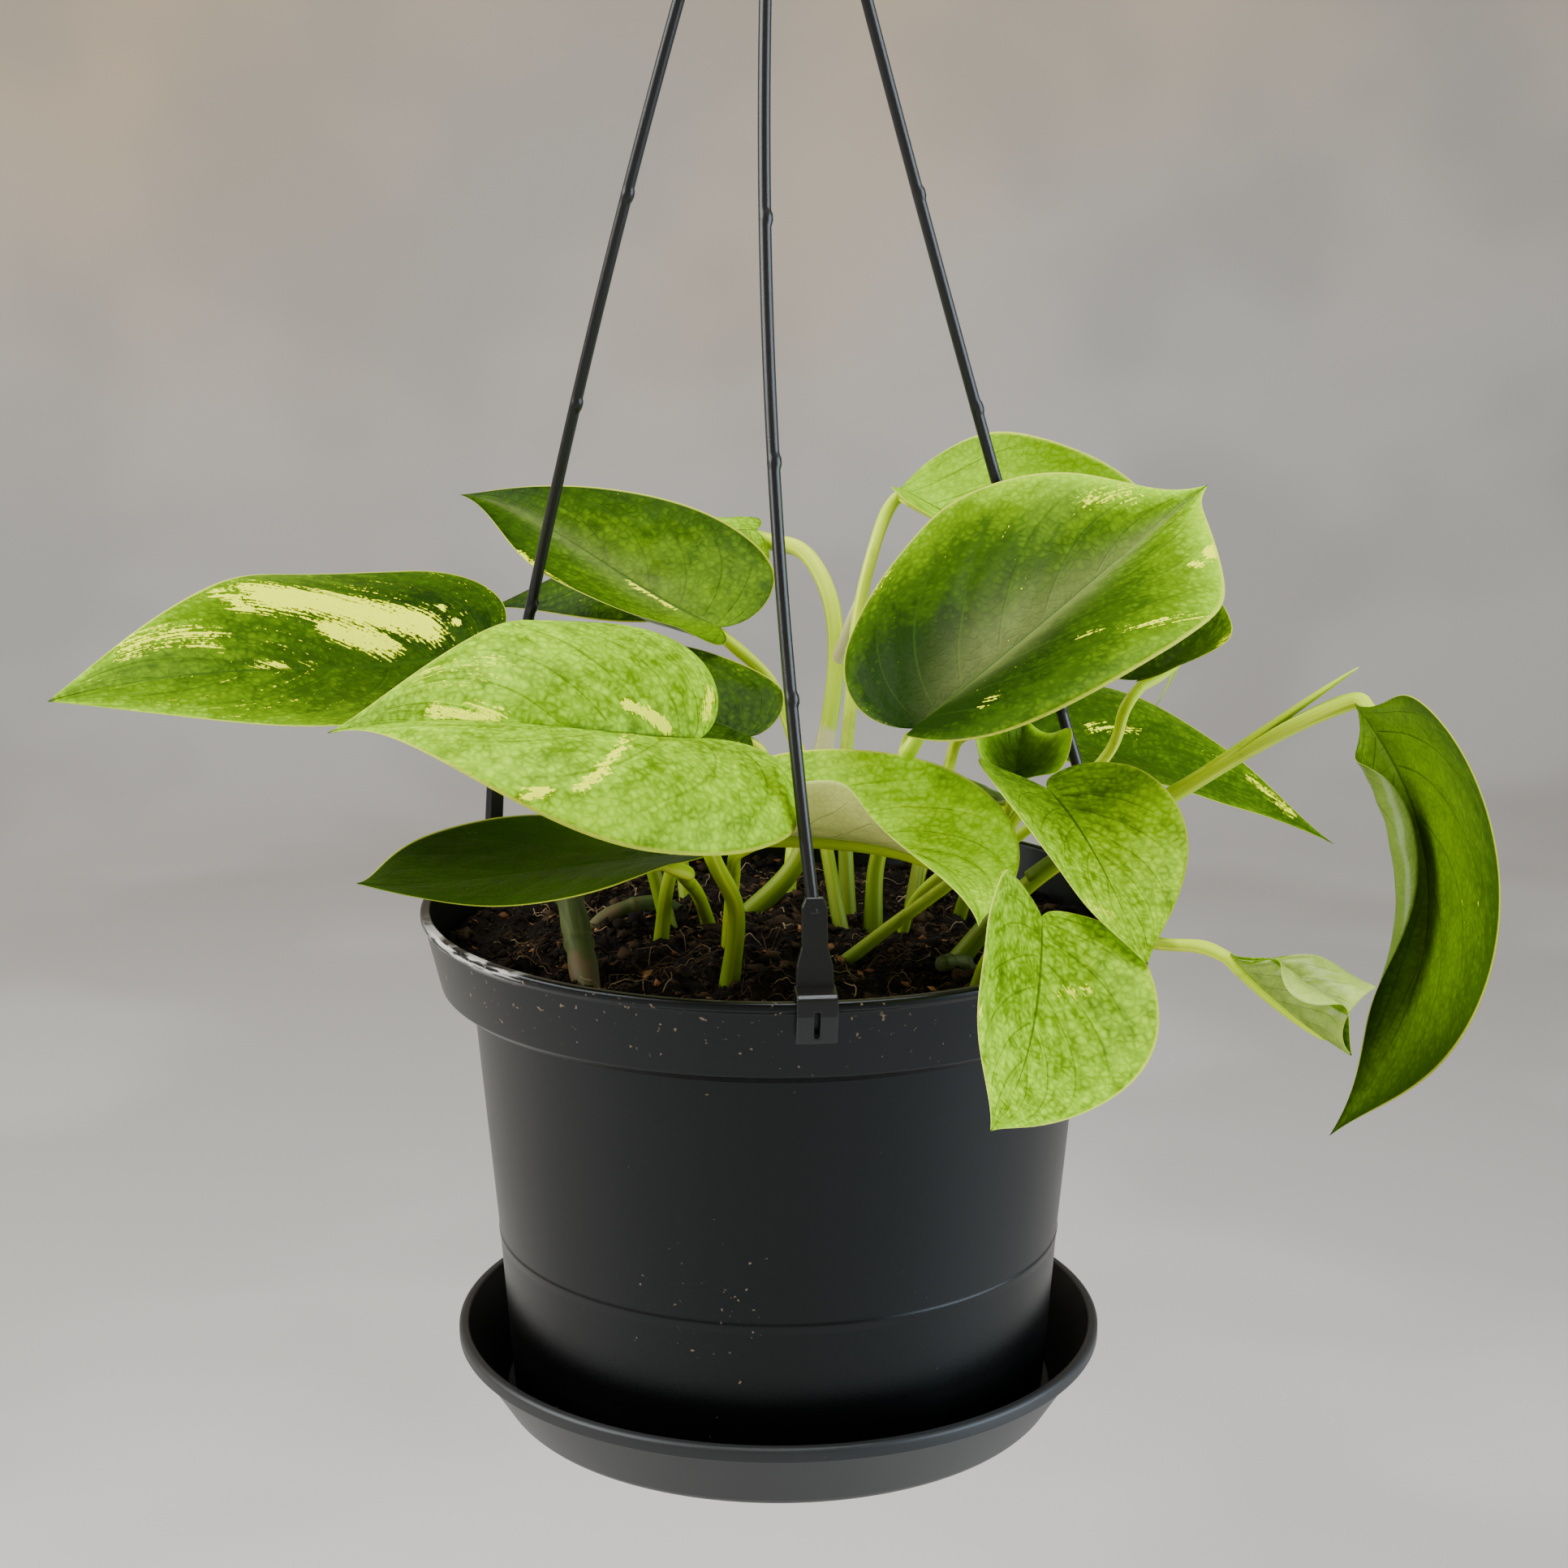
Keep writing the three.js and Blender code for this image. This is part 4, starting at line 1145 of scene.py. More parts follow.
# %% Rows of the right leaves
LEAVES |= dict(
    heart_right=dict(
        base=(71, -42, 41), tip=(91, -100, 10), face=(0.37, -0.7, 0.62), arch=2, bow=-1, skew=0.8,
        width=28, belly=0.27, point=0.3, fold=0, right=(42, 42), left=(42, 42), twist=7,
        foot=(17, -23), way=[(31, -25, -1), (46, -30, 12), (60, -37, 27)], stalk=1.9,
    ),
    hanging_front=dict(
        base=(65, -96, 21), tip=(48, -164, -10), face=(0.41, -0.91, 0.07), arch=-2, bow=-8, skew=-0.2,
        width=32, lobe=0.09, belly=0.27, point=0.13, fold=0, right=(38, 38), left=(70, 70), twist=-16,
        foot=(52, -52), way=[(54, -58, -3), (60, -80, 16)],
    ),
    far_right=dict(
        base=(151, -42, 64), tip=(144, -68, -46), face=(-0.88, -0.45, 0), arch=-6, bow=-41, skew=0.5,
        width=48, lobe=-0.12, belly=0.3, point=0.16, fold=35, right=(235, 110), left=(30, -40), twist=8,
        foot=(49, -20), way=[(62, -22, 4), (75, -24, 16), (103, -30, 35), (123, -34, 49), (139, -38, 59)],
        stalk=2.6, sheath=(0.62, (151.9, -40, 73.2)),
    ),
    rolled_right=dict(
        base=(111.8, -97, 12), tip=(137.8, -121, -6.4), face=(0.6, -0.1, 0.77), arch=-2,
        width=25, lobe=-0.25, belly=0.75, point=0.4, fold=60, right=(180, 120), left=(70, 30),
        foot=(62, -36), way=[(66, -42, -1), (72, -52, 7), (85, -67, 9), (97, -82, 10)], stalk=1.9,
    ),
)
print("rows so far:", len(LEAVES))

# %% [markdown]
# ### The leaves at the rear
#
# A plant isn't bare behind. Three plain leaves stand there, and the camera sees almost nothing of them.

# %% Rows of the rear leaves
LEAVES |= dict(
    rear_left=dict(
        base=(-38, 80, 12), tip=(-60, 138, -22), face=(-0.25, 0.5, 0.85), arch=8,
        width=27, fold=14, right=(10, -10), left=(10, -10),
        foot=(-27, 38), way=[(-29, 46, 0), (-34, 64, 10)],
    ),
    rear_middle=dict(
        base=(8, 84, 12), tip=(14, 148, -25), face=(0, 0.5, 0.85), arch=8,
        width=28, fold=14, right=(10, -10), left=(10, -10),
        foot=(3, 46), way=[(4, 54, 0), (6, 70, 10)],
    ),
    rear_right=dict(
        base=(60, 70, 10), tip=(98, 118, -22), face=(0.35, 0.45, 0.8), arch=8,
        width=25, fold=14, right=(10, -10), left=(10, -10),
        foot=(40, 46), way=[(44, 52, -1), (53, 62, 8)],
    ),
)
print("rows of all leaves:", len(LEAVES))

# %% [markdown]
# ## What only the looks need
#
# tone is how light the green is at base, tip and margin. mottle and fleck are how strong each marking is,
# the sheen number how much painted sheen of reflected light lies by the midrib, and the underside's number
# how much paler the underside is, partly its own pallor and partly a painted glow of light through the
# blade.
# puff and limp say how the sheet swells and sways, and pale lists the strokes of marbling.
# Where the fine blade can roll or swell more smoothly than the plain solid, its bends are set here again.

# %% The plain look
PLAIN_LOOK = dict(
    tone=(0.4, 0.4, 0.5), mottle=0.7, puff=1.6, limp=0.5, bloom=0.0, fleck=0.0, pallor=0.0, knee=6.0,
    pale=(),
)
print("what a leaf's look may say:", ", ".join(PLAIN_LOOK))

# %% Looks of the left leaves
LOOKS = dict(
    far_left=dict(
        tone=(0.06, 0.52, 0.28), mottle=0.6, limp=0.9, fleck=0.75,
        pale=[
            (1, [(0.38, 0.30), (0.50, 0.52), (0.60, 0.70)], 9.5, 1.0),
            (1, [(0.48, 0.14), (0.55, 0.30)], 7.0, 0.85),
            (1, [(0.66, 0.68), (0.66, 0.86)], 5.0, 0.75),
            (1, [(0.76, 0.45), (0.80, 0.72), (0.86, 0.9)], 7.0, 0.62),
            (1, [(0.31, 0.44), (0.305, 0.47)], 1.8, 1.0),
            (1, [(0.28, 0.31), (0.275, 0.33)], 1.8, 1.0),
            (1, [(0.70, 0.05), (0.74, 0.06)], 2.4, 0.7),
        ],
    ),
    front_left=dict(
        tone=(0.64, 0.68, 0.72), mottle=0.9, limp=1.0, puff=3.0, fleck=0.3,
        pale=[
            (1, [(0.44, 0.17), (0.38, 0.12), (0.32, 0.07)], 2.2, 1.0),
            (-1, [(0.46, 0.06), (0.52, 0.41), (0.54, 0.63), (0.56, 0.80)], 1.7, 0.9),
            (1, [(0.84, 0.20), (0.75, 0.06)], 3.6, 0.72),
            (1, [(0.16, 0.72), (0.14, 0.40)], 2.4, 0.75),
            (-1, [(0.61, 0.95), (0.59, 0.86)], 1.7, 0.8),
            (1, [(0.82, 0.80), (0.76, 0.63), (0.70, 0.60)], 6.0, 0.42),
        ],
    ),
    upper_left=dict(
        # Its sheen number paints a highlight of reflected light by the midrib.
        tone=(0.46, 0.14, 0.30), mottle=0.5, bloom=0.22,
        pale=[(-1, [(0.40, 0.03), (0.56, 0.03)], 1.7, 0.8), (-1, [(0.60, 0.95), (0.74, 0.97)], 1.6, 0.7)],
    ),
    back_left=dict(tone=(0.70, 0.06, 0.50), puff=0.8, stalk=2.9),
    behind_left=dict(tone=(0.16, 0.20, 0.34), pale=[(1, [(0.62, 0.94), (0.70, 0.94)], 1.8, 0.7)]),
    low_left=dict(tone=(0.18, 0.14, 0.20), mottle=0.25, limp=0.7),
)
print("strokes of marbling:", sum(len(look.get("pale", ())) for look in LOOKS.values()))

# %% Looks of the middle leaves
LOOKS |= dict(
    big_right=dict(
        # Its sheen number paints a broad highlight of reflected light along the midrib.
        tone=(-0.14, 0.58, 0.29), mottle=0.55, limp=1.0, puff=3.0, bloom=0.48, fleck=0.35,
        wave=2.6, waves=2.6,
        bulges=[(-1, 0.53, 0.12, 0.08), (-1, 0.33, 0.06, -0.03)],
        pale=[
            (-1, [(0.74, 0.74), (0.84, 0.78), (0.82, 0.93)], 5.0, 0.45),
            (1, [(0.74, 0.98), (0.73, 0.95)], 2.6, 1.0),
            (1, [(0.70, 0.85), (0.70, 0.80)], 1.8, 0.9),
            (1, [(0.47, 0.56), (0.49, 0.80), (0.53, 0.98)], 2.6, 0.55),
            (1, [(0.34, 0.60), (0.30, 0.70)], 2.4, 0.5),
            (-1, [(0.38, 0.96), (0.41, 0.96)], 2.0, 0.6),
        ],
    ),
    top_back=dict(tone=(0.70, 0.74, 0.70), mottle=0.45, limp=0.8, knee=2.0),
    under_right=dict(tone=(0.22, 0.34, 0.42), pale=[(1, [(0.57, 0.90), (0.50, 0.95)], 2.2, 0.7)]),
    back_right=dict(
        tone=(0.20, 0.32, 0.30), mottle=0.5, limp=0.6,
        pale=[(-1, [(0.51, 0.20), (0.60, 0.34)], 3.6, 0.62), (-1, [(0.80, 0.80), (0.90, 0.70)], 3.0, 0.55)],
    ),
    # Its underside is lifted to the top of the ramp: painted glow of light shining through the curl.
    curl_centre=dict(tone=(0.72, 0.80, 0.74), mottle=0.8, limp=0.8, puff=2.2, pallor=0.42),
    young_curl=dict(tone=(0.26, 0.46, 1.05), mottle=0.4, limp=0.3, puff=0.6, wave=3.4, waves=2.2),
)
print("strokes of marbling:", sum(len(look.get("pale", ())) for look in LOOKS.values()))

# %% Looks of the right and rear leaves
LOOKS |= dict(
    heart_right=dict(
        tone=(0.72, 0.72, 0.78), mottle=1.0, limp=0.8, puff=2.0, fleck=0.2,
        pale=[(1, [(0.84, 0.50), (0.80, 0.85)], 3.2, 0.5)],
    ),
    hanging_front=dict(
        tone=(0.63, 0.70, 0.70), mottle=1.0, limp=0.8, puff=2.2, fleck=0.3,
        pale=[(-1, [(0.47, 0.20), (0.42, 0.44)], 2.6, 0.55), (1, [(0.76, 0.9), (0.70, 0.95)], 1.8, 0.5)],
    ),
    far_right=dict(
        # Its base tone is above its tip's: painted light that lifts the valley by the midrib, where the
        # curled half casts shade.
        tone=(0.50, 0.32, 0.29), mottle=0.32, limp=0.5, pallor=-0.06, knee=1.5,
        lobe=-0.08, bow=-27, width=22, slim=2.6, fold=20, right=(235, 185), left=(25, -5),
        sheath=(0.48, (151.9, -40, 73.2)),
    ),
    rolled_right=dict(
        tone=(0.50, 0.52, 0.62), mottle=0.5, limp=0.4, puff=0.6, pallor=-0.06, face=(0.3, -0.6, 0.7),
        right=(200, 160), left=(150, 120),
    ),
    rear_left=dict(tone=(0.40, 0.44, 0.46)),
    rear_middle=dict(tone=(0.52, 0.56, 0.56), fleck=0.4),
    rear_right=dict(tone=(0.34, 0.38, 0.40)),
)
print("strokes of marbling:", sum(len(look.get("pale", ())) for look in LOOKS.values()))

# %% [markdown]
# Each leaf is now its rows laid over one another: the plain leaf, the plain look, its own row and its own
# look. A seed of its own gives each blade another pucker and another mottle.

# %% The blades
leaves = {name: {**PLAIN_LEAF, **PLAIN_LOOK, **values, **LOOKS[name]} for name, values in LEAVES.items()}
for seed, (name, leaf) in enumerate(leaves.items()):
    blade = add_blade(f"blade_{name}", leaf, seed + 3)
    finish_piece(blade, LEAF_MATERIAL, "leaf", f"leaf_{name}")
print("blades:", len(leaves))

# %% [markdown]
# ## Stalks
#
# Each stalk stands in the soil, passes its way points and bends into the blade. It is channelled on its
# upper side, a little swollen at the foot and at the knee under the blade, and it runs on as the keel
# of the midrib, tapering all the way, so that stalk and leaf are one piece of plant.

# %% Easing a path's corners
def relaxed(path, spread=3.0, reach=9):
    """The path with its corners eased: each point is a bell-weighted mean of its neighbours, ends kept."""
    weight = np.exp(-0.5 * (np.arange(-reach, reach + 1) / spread) ** 2)
    weight /= weight.sum()
    before, after = 2 * path[0] - path[reach:0:-1], 2 * path[-1] - path[-2:-reach - 2:-1]
    longer = np.vstack([before, path, after])
    return np.stack([np.convolve(longer[:, axis], weight, "valid") for axis in range(3)], axis=-1)


print("an eased path keeps its", len(relaxed(bend)), "points")

# %% [markdown]
# The stalk's centre line has two parts: the stem from the root to the blade, and the keel under the
# midrib. Both are worked out for the same leaf, so the join has no step in it.

# %% The stalk's radius
STALK_STATIONS = 90
KEEL_STATIONS = 31
KEEL_SHARE = 0.8  # how far the keel runs along the midrib
FOOT_SWELL, FOOT_REACH = 0.28, 0.16
KNEE_SWELL, KNEE_PLACE, KNEE_REACH = 0.10, 0.93, 0.05
STEM_TAPER = 0.16


def stem_profile(s):
    """Radius over the leaf's own: one, plus a bell at the foot and one at the knee, less a slow taper."""
    foot = FOOT_SWELL * np.exp(-((s / FOOT_REACH) ** 2))
    knee = KNEE_SWELL * np.exp(-(((s - KNEE_PLACE) / KNEE_REACH) ** 2))
    return 1 + foot + knee - STEM_TAPER * s


def keel_profile(share):
    """Radius over the leaf's own, fading with a power of the share of the keel that is left."""
    return 0.74 * (1 - share / KEEL_SHARE) ** 0.6 + 0.10


print("at foot, middle and top:", stem_profile(np.array([0.0, 0.5, 1.0])).round(2).tolist())

# %% The stalk's centre line
STALK_DEPTH = 9.0
KEEL_SINK = 0.35


def stalk_line(leaf):
    """The stem from its root to the blade's base, then on under the midrib, and its radius all the way."""
    stem_radius = stem_profile(np.linspace(0, 1, STALK_STATIONS))
    share = np.linspace(0, KEEL_SHARE, KEEL_STATIONS)[1:]
    keel_radius = keel_profile(share)
    place, tangent, _, normal = (row[0] for row in midrib(leaf, np.array([0.0])))
    seat = 0.84 * leaf["stalk"] + KEEL_SINK
    approach = place - leaf["knee"] * tangent - (seat + leaf["sink"]) * normal
    ground = np.array([*leaf["foot"], SOIL_LEVEL])
    lean = unit(np.array(leaf["way"][0]) - ground)
    root = ground - lean * STALK_DEPTH / max(lean[2], 0.4)
    way = [root, ground, *leaf["way"], approach, place - seat * normal]
    stem = relaxed(smooth_path(way, STALK_STATIONS))
    keel, _, _, keel_normal = midrib(leaf, share)
    drop = (leaf["stalk"] * keel_radius + KEEL_SINK)[:, None]
    radius = leaf["stalk"] * np.concatenate([stem_radius, keel_radius])
    return np.vstack([stem, keel - drop * keel_normal]), radius


print("points of the first centre line:", len(stalk_line(leaves["far_left"])[0]))

# %% [markdown]
# A curve with a round bevel would be quicker than a swept tube, but it can't have the channel. The last
# rings lie half sunk in the midrib, where the stalk runs on as its keel.

# %% The stalks
STALK_SIDES = 18


def add_stalk(name, leaf):
    """The channelled tube; where its knee would pass the frame's box it is drawn in smoothly."""
    path, radius = stalk_line(leaf)
    beyond = (path[:, 0] + radius).max() - (cad_box[1][0] / MM - 0.1)
    if beyond > 0:
        path[:, 0] -= beyond * (np.clip(path[:, 0], 0, None) / path[:, 0].max()) ** 4
    obj = add_tube(f"stem_{name}", path, radius, STALK_SIDES, groove=0.1)
    finish_piece(obj, STALK_MATERIAL, "stalk", f"stalk_{name}")
    return path


stalk_paths = {name: add_stalk(name, leaf) for name, leaf in leaves.items()}
print("stalks:", len(stalk_paths))

# %% [markdown]
# ## Dry sheaths
#
# Each leaf was once wrapped in the sheath of the one before. Its remains stand off two of the stalks as
# papery spikes: a strip that hugs the stalk, narrows and leaves it for a free tip.

# %% The sheath's centre line
SHEATH_STATIONS = 40
SHEATH_HUG = 0.22  # the share of the stalk that it hugs


def sheath_line(path, start, tip):
    """Places, side and outward direction: along the stalk at first, then in a straight run to the tip."""
    hug = evenly(path, SHEATH_STATIONS, max(start - SHEATH_HUG, 0.02), start)
    free = hug[-1] + (np.array(tip) - hug[-1]) * np.linspace(0, 1, SHEATH_STATIONS)[1:, None]
    line = smooth_path(np.vstack([hug[::8], hug[-1], free[12::9], free[-1]]), SHEATH_STATIONS)
    tangent = unit(np.gradient(line, axis=0))
    side = np.cross(tangent, unit(np.array(tip) - hug[-1]) + (0.01, 0.02, 0.03))
    side = unit(side.mean(axis=0) - tangent * (tangent @ side.mean(axis=0))[:, None])
    return line, side, np.cross(side, tangent)


print("points of a sheath's line:", len(sheath_line(bend, 0.6, (40, 0, 40))[0]))

# %% [markdown]
# Its section is an arc, not a closed ring. So the strip has an inner and an outer wall, and a band of quads
# along their rim joins the two to a thin closed shell.

# %% The sheath's walls and faces
SHEATH_COLUMNS = 12
SHEATH_OPENING = np.radians(200)
SHEATH_THICKNESS = 0.3


def sheath_walls(line, side, outward, radius):
    """Points of both walls: arcs round the line whose radius shrinks along it and closes at the tip."""
    s = np.linspace(0, 1, SHEATH_STATIONS)
    angle = np.linspace(-0.5, 0.5, SHEATH_COLUMNS)[None, :] * SHEATH_OPENING
    shell = (radius * (1.12 - 0.72 * s) * (1 - s**14) + 0.1)[:, None]
    walls = []
    for offset in (0.0, SHEATH_THICKNESS):
        r = shell + offset * (1 - 0.6 * s)[:, None]
        walls.append(
            line[:, None]
            + (r * np.sin(angle))[..., None] * side[:, None]
            + (r * np.cos(angle))[..., None] * outward[:, None]
        )
    return np.vstack([wall.reshape(-1, 3) for wall in walls])


def sheath_faces():
    """Quads of the inner wall, of the outer wall and of the rim that joins them."""
    count = SHEATH_STATIONS * SHEATH_COLUMNS
    inner = grid_faces(SHEATH_STATIONS, SHEATH_COLUMNS)
    rim = np.concatenate([
        np.arange(SHEATH_COLUMNS),
        np.arange(1, SHEATH_STATIONS) * SHEATH_COLUMNS + SHEATH_COLUMNS - 1,
        count - 2 - np.arange(SHEATH_COLUMNS - 1),
        np.arange(SHEATH_STATIONS - 2, 0, -1) * SHEATH_COLUMNS,
    ])
    after = np.roll(rim, -1)
    edge = np.stack([rim, after, after + count, rim + count], axis=-1)
    return np.concatenate([inner[:, ::-1], inner + count, edge])


print("a sheath opens by", round(float(np.degrees(SHEATH_OPENING))), "degrees")

# %% [markdown]
# One of the two is still green, so it takes the stalk's finish. The other one has dried to straw.

# %% The sheaths of this plant
STEM_SHARE = 0.82  # the stem's share of the stalk's path, whose rest is the keel
FRESH_SHEATHS = ("far_right",)


def add_sheath(name, path, start, tip, radius):
    """The shell of one sheath, with a UV pair that goes round it and along it, as on a stalk."""
    obj = add_mesh(f"sheath_{name}", sheath_walls(*sheath_line(path, start, tip), radius), sheath_faces())
    fix_normals(obj)
    round_it = np.tile(np.linspace(0.3, 0.7, SHEATH_COLUMNS), SHEATH_STATIONS)
    along = np.repeat(np.linspace(0, 1, SHEATH_STATIONS), SHEATH_COLUMNS)
    uv = np.stack([round_it, along], axis=-1)
    set_uv(obj, np.vstack([uv, uv]))
    finish_piece(obj, STALK_MATERIAL if name in FRESH_SHEATHS else SHEATH_MATERIAL, "stalk")


for name, leaf in leaves.items():
    if leaf["sheath"]:
        share, tip = leaf["sheath"]
        stem_share = share * STEM_SHARE
        add_sheath(name, stalk_paths[name], stem_share, tip, leaf["stalk"])
print("sheaths:", sum(bool(leaf["sheath"]) for leaf in leaves.values()))

# %% [markdown]
# ## Old vine
#
# The plant was grown from lengths of vine. They show as thick dull stems with a ring at each node, where
# a leaf once sat.

# %% Old vine
VINES = dict(
    front=dict(
        radius=4.0, route=[(-48, -52, -22), (-51, -45, -12), (-54, -32, -3), (-57, -20, 5), (-59, -10, 9)],
    ),
    creeping=dict(
        radius=2.6, route=[(-58, 10, -20), (-51, 14, -11), (-40, 18, -7), (-31, 22, -9), (-26, 27, -17)],
    ),
    cut=dict(radius=2.4, route=[(54, -25, -21), (51, -29, -11), (44, -38, -8)]),
)
VINE_STATIONS = 110
VINE_SIDES = 20
NODES_ALONG = 3

for name, vine in VINES.items():
    path = smooth_path(vine["route"], VINE_STATIONS)
    s = np.linspace(0, 1, VINE_STATIONS)
    ring = np.exp(-((((s * NODES_ALONG) % 1) - 0.5) / 0.07) ** 2)
    radius = vine["radius"] * (0.96 + 0.16 * ring + 0.05 * np.sin(s * 23))
    vine_piece = add_tube(f"old_vine_{name}", path, radius, VINE_SIDES)
    finish_piece(vine_piece, VINE_MATERIAL, "vine", f"vine_{name}")
print("old vines:", len(VINES))

# %% [markdown]
# ## The soil
#
# Its height is the heap and the lumps of the frame's solid, with finer crumbs of noise on them. One
# function gives it, because all that lies on the soil has to ask for it as well.

# %% The soil's height
SOIL_WAVES = ((11, 9, 1.1), (12, 4, 0.6), (13, 2, 0.35))  # seed, wavelength, height


def soil_height(x, y):
    """Level + lumps + heap, as in the frame, plus finer noise that fades at the pot's wall."""
    lump = np.sin(x / 9 + 1) * np.cos(y / 8) + 0.7 * np.sin(x / 4.3 - y / 5.1)
    heap = 3 * (1 - np.hypot(x, y) / 86)
    fine = sum(height * waves(seed, length, x, y) for seed, length, height in SOIL_WAVES)
    return SOIL_LEVEL + SOIL_LUMP * lump + heap + fine


print("soil in the middle:", round(float(soil_height(0.0, 0.0)), 1), "mm from the rim")

# %% [markdown]
# The body is a polar grid: rings from the middle to the pot's wall, and below them a skirt that fills the
# pot, so that the soil is a closed body with one point in the middle of its top and of its underside.

# %% The soil's body
SOIL_RINGS = 110
SOIL_SPOKES = 300
SOIL_EDGE = 93.4
SOIL_FOOT = -POT_HEIGHT + 4
SOIL_SKIRT = ((91.6, -20.0), (83.6, -27.5), (74.0, SOIL_FOOT), (20.0, SOIL_FOOT))  # radius, level


def add_soil():
    """A closed body: the crumbly top, a wall just inside the pot and a flat underside."""
    radius = np.linspace(0, SOIL_EDGE, SOIL_RINGS)[1:]
    angle = np.linspace(0, 2 * np.pi, SOIL_SPOKES, endpoint=False)
    r, a = np.meshgrid(radius, angle, indexing="ij")
    x, y = r * np.cos(a), r * np.sin(a)
    top = np.stack([x, y, soil_height(x, y)], axis=-1)
    below = []
    for wall_radius, level in SOIL_SKIRT:
        wall_x, wall_y = wall_radius * np.cos(angle), wall_radius * np.sin(angle)
        below.append(np.stack([wall_x, wall_y, np.full(SOIL_SPOKES, level)], axis=-1)[None])
    grid = np.concatenate([top, *below])
    rows = len(grid)
    centre = [[0, 0, soil_height(0.0, 0.0)], [0, 0, SOIL_FOOT]]
    points = np.vstack([grid.reshape(-1, 3), centre])
    spoke = np.arange(SOIL_SPOKES)
    beside = (spoke + 1) % SOIL_SPOKES
    last = (rows - 1) * SOIL_SPOKES
    fans = np.concatenate([
        fan_faces(len(points) - 2, spoke, beside),
        fan_faces(len(points) - 1, last + beside, last + spoke),
    ])
    obj = add_mesh("soil_bed", points, grid_faces(rows, SOIL_SPOKES, closed=True), fans)
    fix_normals(obj)
    return obj


print("points of the body:", (SOIL_RINGS - 1 + len(SOIL_SKIRT)) * SOIL_SPOKES + 2)

# %% [markdown]
# Loose crumbs, coir fibres and chips of bark lie on the soil as real pieces, because at this scale a bump
# alone looks painted. There are thousands, so each lump is an octahedron with moved corners, and all of
# one kind are one mesh.

# %% Places on the soil
def on_soil(random, count, reach):
    """Places spread evenly over the soil's disc."""
    r = reach * np.sqrt(random.uniform(0, 1, count))
    a = random.uniform(0, 2 * np.pi, count)
    x, y = r * np.cos(a), r * np.sin(a)
    return np.stack([x, y, soil_height(x, y)], axis=-1)


print("a place on the soil:", on_soil(np.random.default_rng(1), 1, SOIL_EDGE).round(1).tolist())

# %% Crumbs, clods and chips
CRUMB_CORNERS = np.array([[1, 0, 0], [-1, 0, 0], [0, 1, 0], [0, -1, 0], [0, 0, 1], [0, 0, -1]], float)
CRUMB_FACES = np.array([
    [4, 0, 2], [4, 2, 1], [4, 1, 3], [4, 3, 0],
    [5, 2, 0], [5, 1, 2], [5, 3, 1], [5, 0, 3],
])


def add_crumbs(name, count, size, flatness, seed):
    """Many small lumps in one mesh: jittered octahedra, each turned and scaled on its own."""
    random = np.random.default_rng(seed)
    corners = len(CRUMB_CORNERS)
    shape = CRUMB_CORNERS[None] * random.uniform(0.6, 1.3, (count, corners, 1))
    scale = size * random.uniform(0.4, 1.5, (count, 1, 1))
    stretch = np.stack([random.uniform(0.7, 1.6, count), np.ones(count), np.full(count, flatness)], axis=-1)
    shape *= scale * stretch[:, None]
    turn = np.linalg.qr(random.normal(size=(count, 3, 3)) + 2.5 * np.eye(3))[0]
    place = on_soil(random, count, SOIL_EDGE - 2.5)
    points = np.einsum("nij,nkj->nki", turn, shape) + place[:, None] + (0, 0, 0.2 * size)
    triangles = (CRUMB_FACES[None] + corners * np.arange(count)[:, None, None]).reshape(-1, 3)
    obj = add_mesh(name, points.reshape(-1, 3), [], triangles)
    fix_normals(obj)
    set_values(obj, grey=np.repeat(random.uniform(0, 1, count), corners))
    return obj


print("corners and faces of a crumb:", len(CRUMB_CORNERS), "and", len(CRUMB_FACES))

# %% [markdown]
# Coir is the short brown fibre mixed into the peat. A fibre bends in an arc, lies on the lumps and lifts
# a little between its ends, which are thinner.

# %% Where the fibres run
FIBRE_STATIONS = 14


def fibre_paths(random, count):
    """The place t along each fibre, its arc over the soil, and the level direction square to the arc."""
    t = np.linspace(-0.5, 0.5, FIBRE_STATIONS)[None, :]
    length = random.uniform(6, 22, (count, 1))
    heading = random.uniform(0, 2 * np.pi, (count, 1))
    curl = random.uniform(-2.2, 2.2, (count, 1))
    place = on_soil(random, count, SOIL_EDGE - 14)
    angle = heading + curl * t
    x = place[:, :1] + length * t * np.cos(angle)
    y = place[:, 1:2] + length * t * np.sin(angle)
    lift = random.uniform(0.2, 2.2, (count, 1)) * np.sin(np.pi * (t + 0.5)) ** 2
    z = soil_height(x, y) + 0.15 + lift
    across = np.stack([-np.sin(angle), np.cos(angle), np.zeros_like(x)], axis=-1)
    return t, np.stack([x, y, z], axis=-1), across


print("paths of two fibres:", fibre_paths(np.random.default_rng(1), 2)[1].shape)

# %% Coir fibres
def add_fibres(name, count, seed):
    """Thin three-sided tubes along random arcs, all in one mesh."""
    random = np.random.default_rng(seed)
    t, path, across = fibre_paths(random, count)
    radius = random.uniform(0.10, 0.24, (count, 1, 1, 1)) * (1 - (1.8 * t[:, :, None, None]) ** 4)
    spin = np.array([0, 2 * np.pi / 3, 4 * np.pi / 3])
    ring = across[:, :, None] * np.cos(spin)[:, None] + np.array([0, 0, 1.0]) * np.sin(spin)[:, None]
    points = path[:, :, None] + radius * ring
    corners = 3 * FIBRE_STATIONS
    first = corners * np.arange(count)[:, None, None]
    quads = (grid_faces(FIBRE_STATIONS, 3, closed=True)[None] + first).reshape(-1, 4)
    caps = np.array([[0, 2, 1], [corners - 3, corners - 2, corners - 1]])
    caps = (caps[None] + first).reshape(-1, 3)
    obj = add_mesh(name, points.reshape(-1, 3), quads, caps)
    fix_normals(obj)
    set_values(obj, grey=np.repeat(random.uniform(0, 1, count), corners))
    return obj


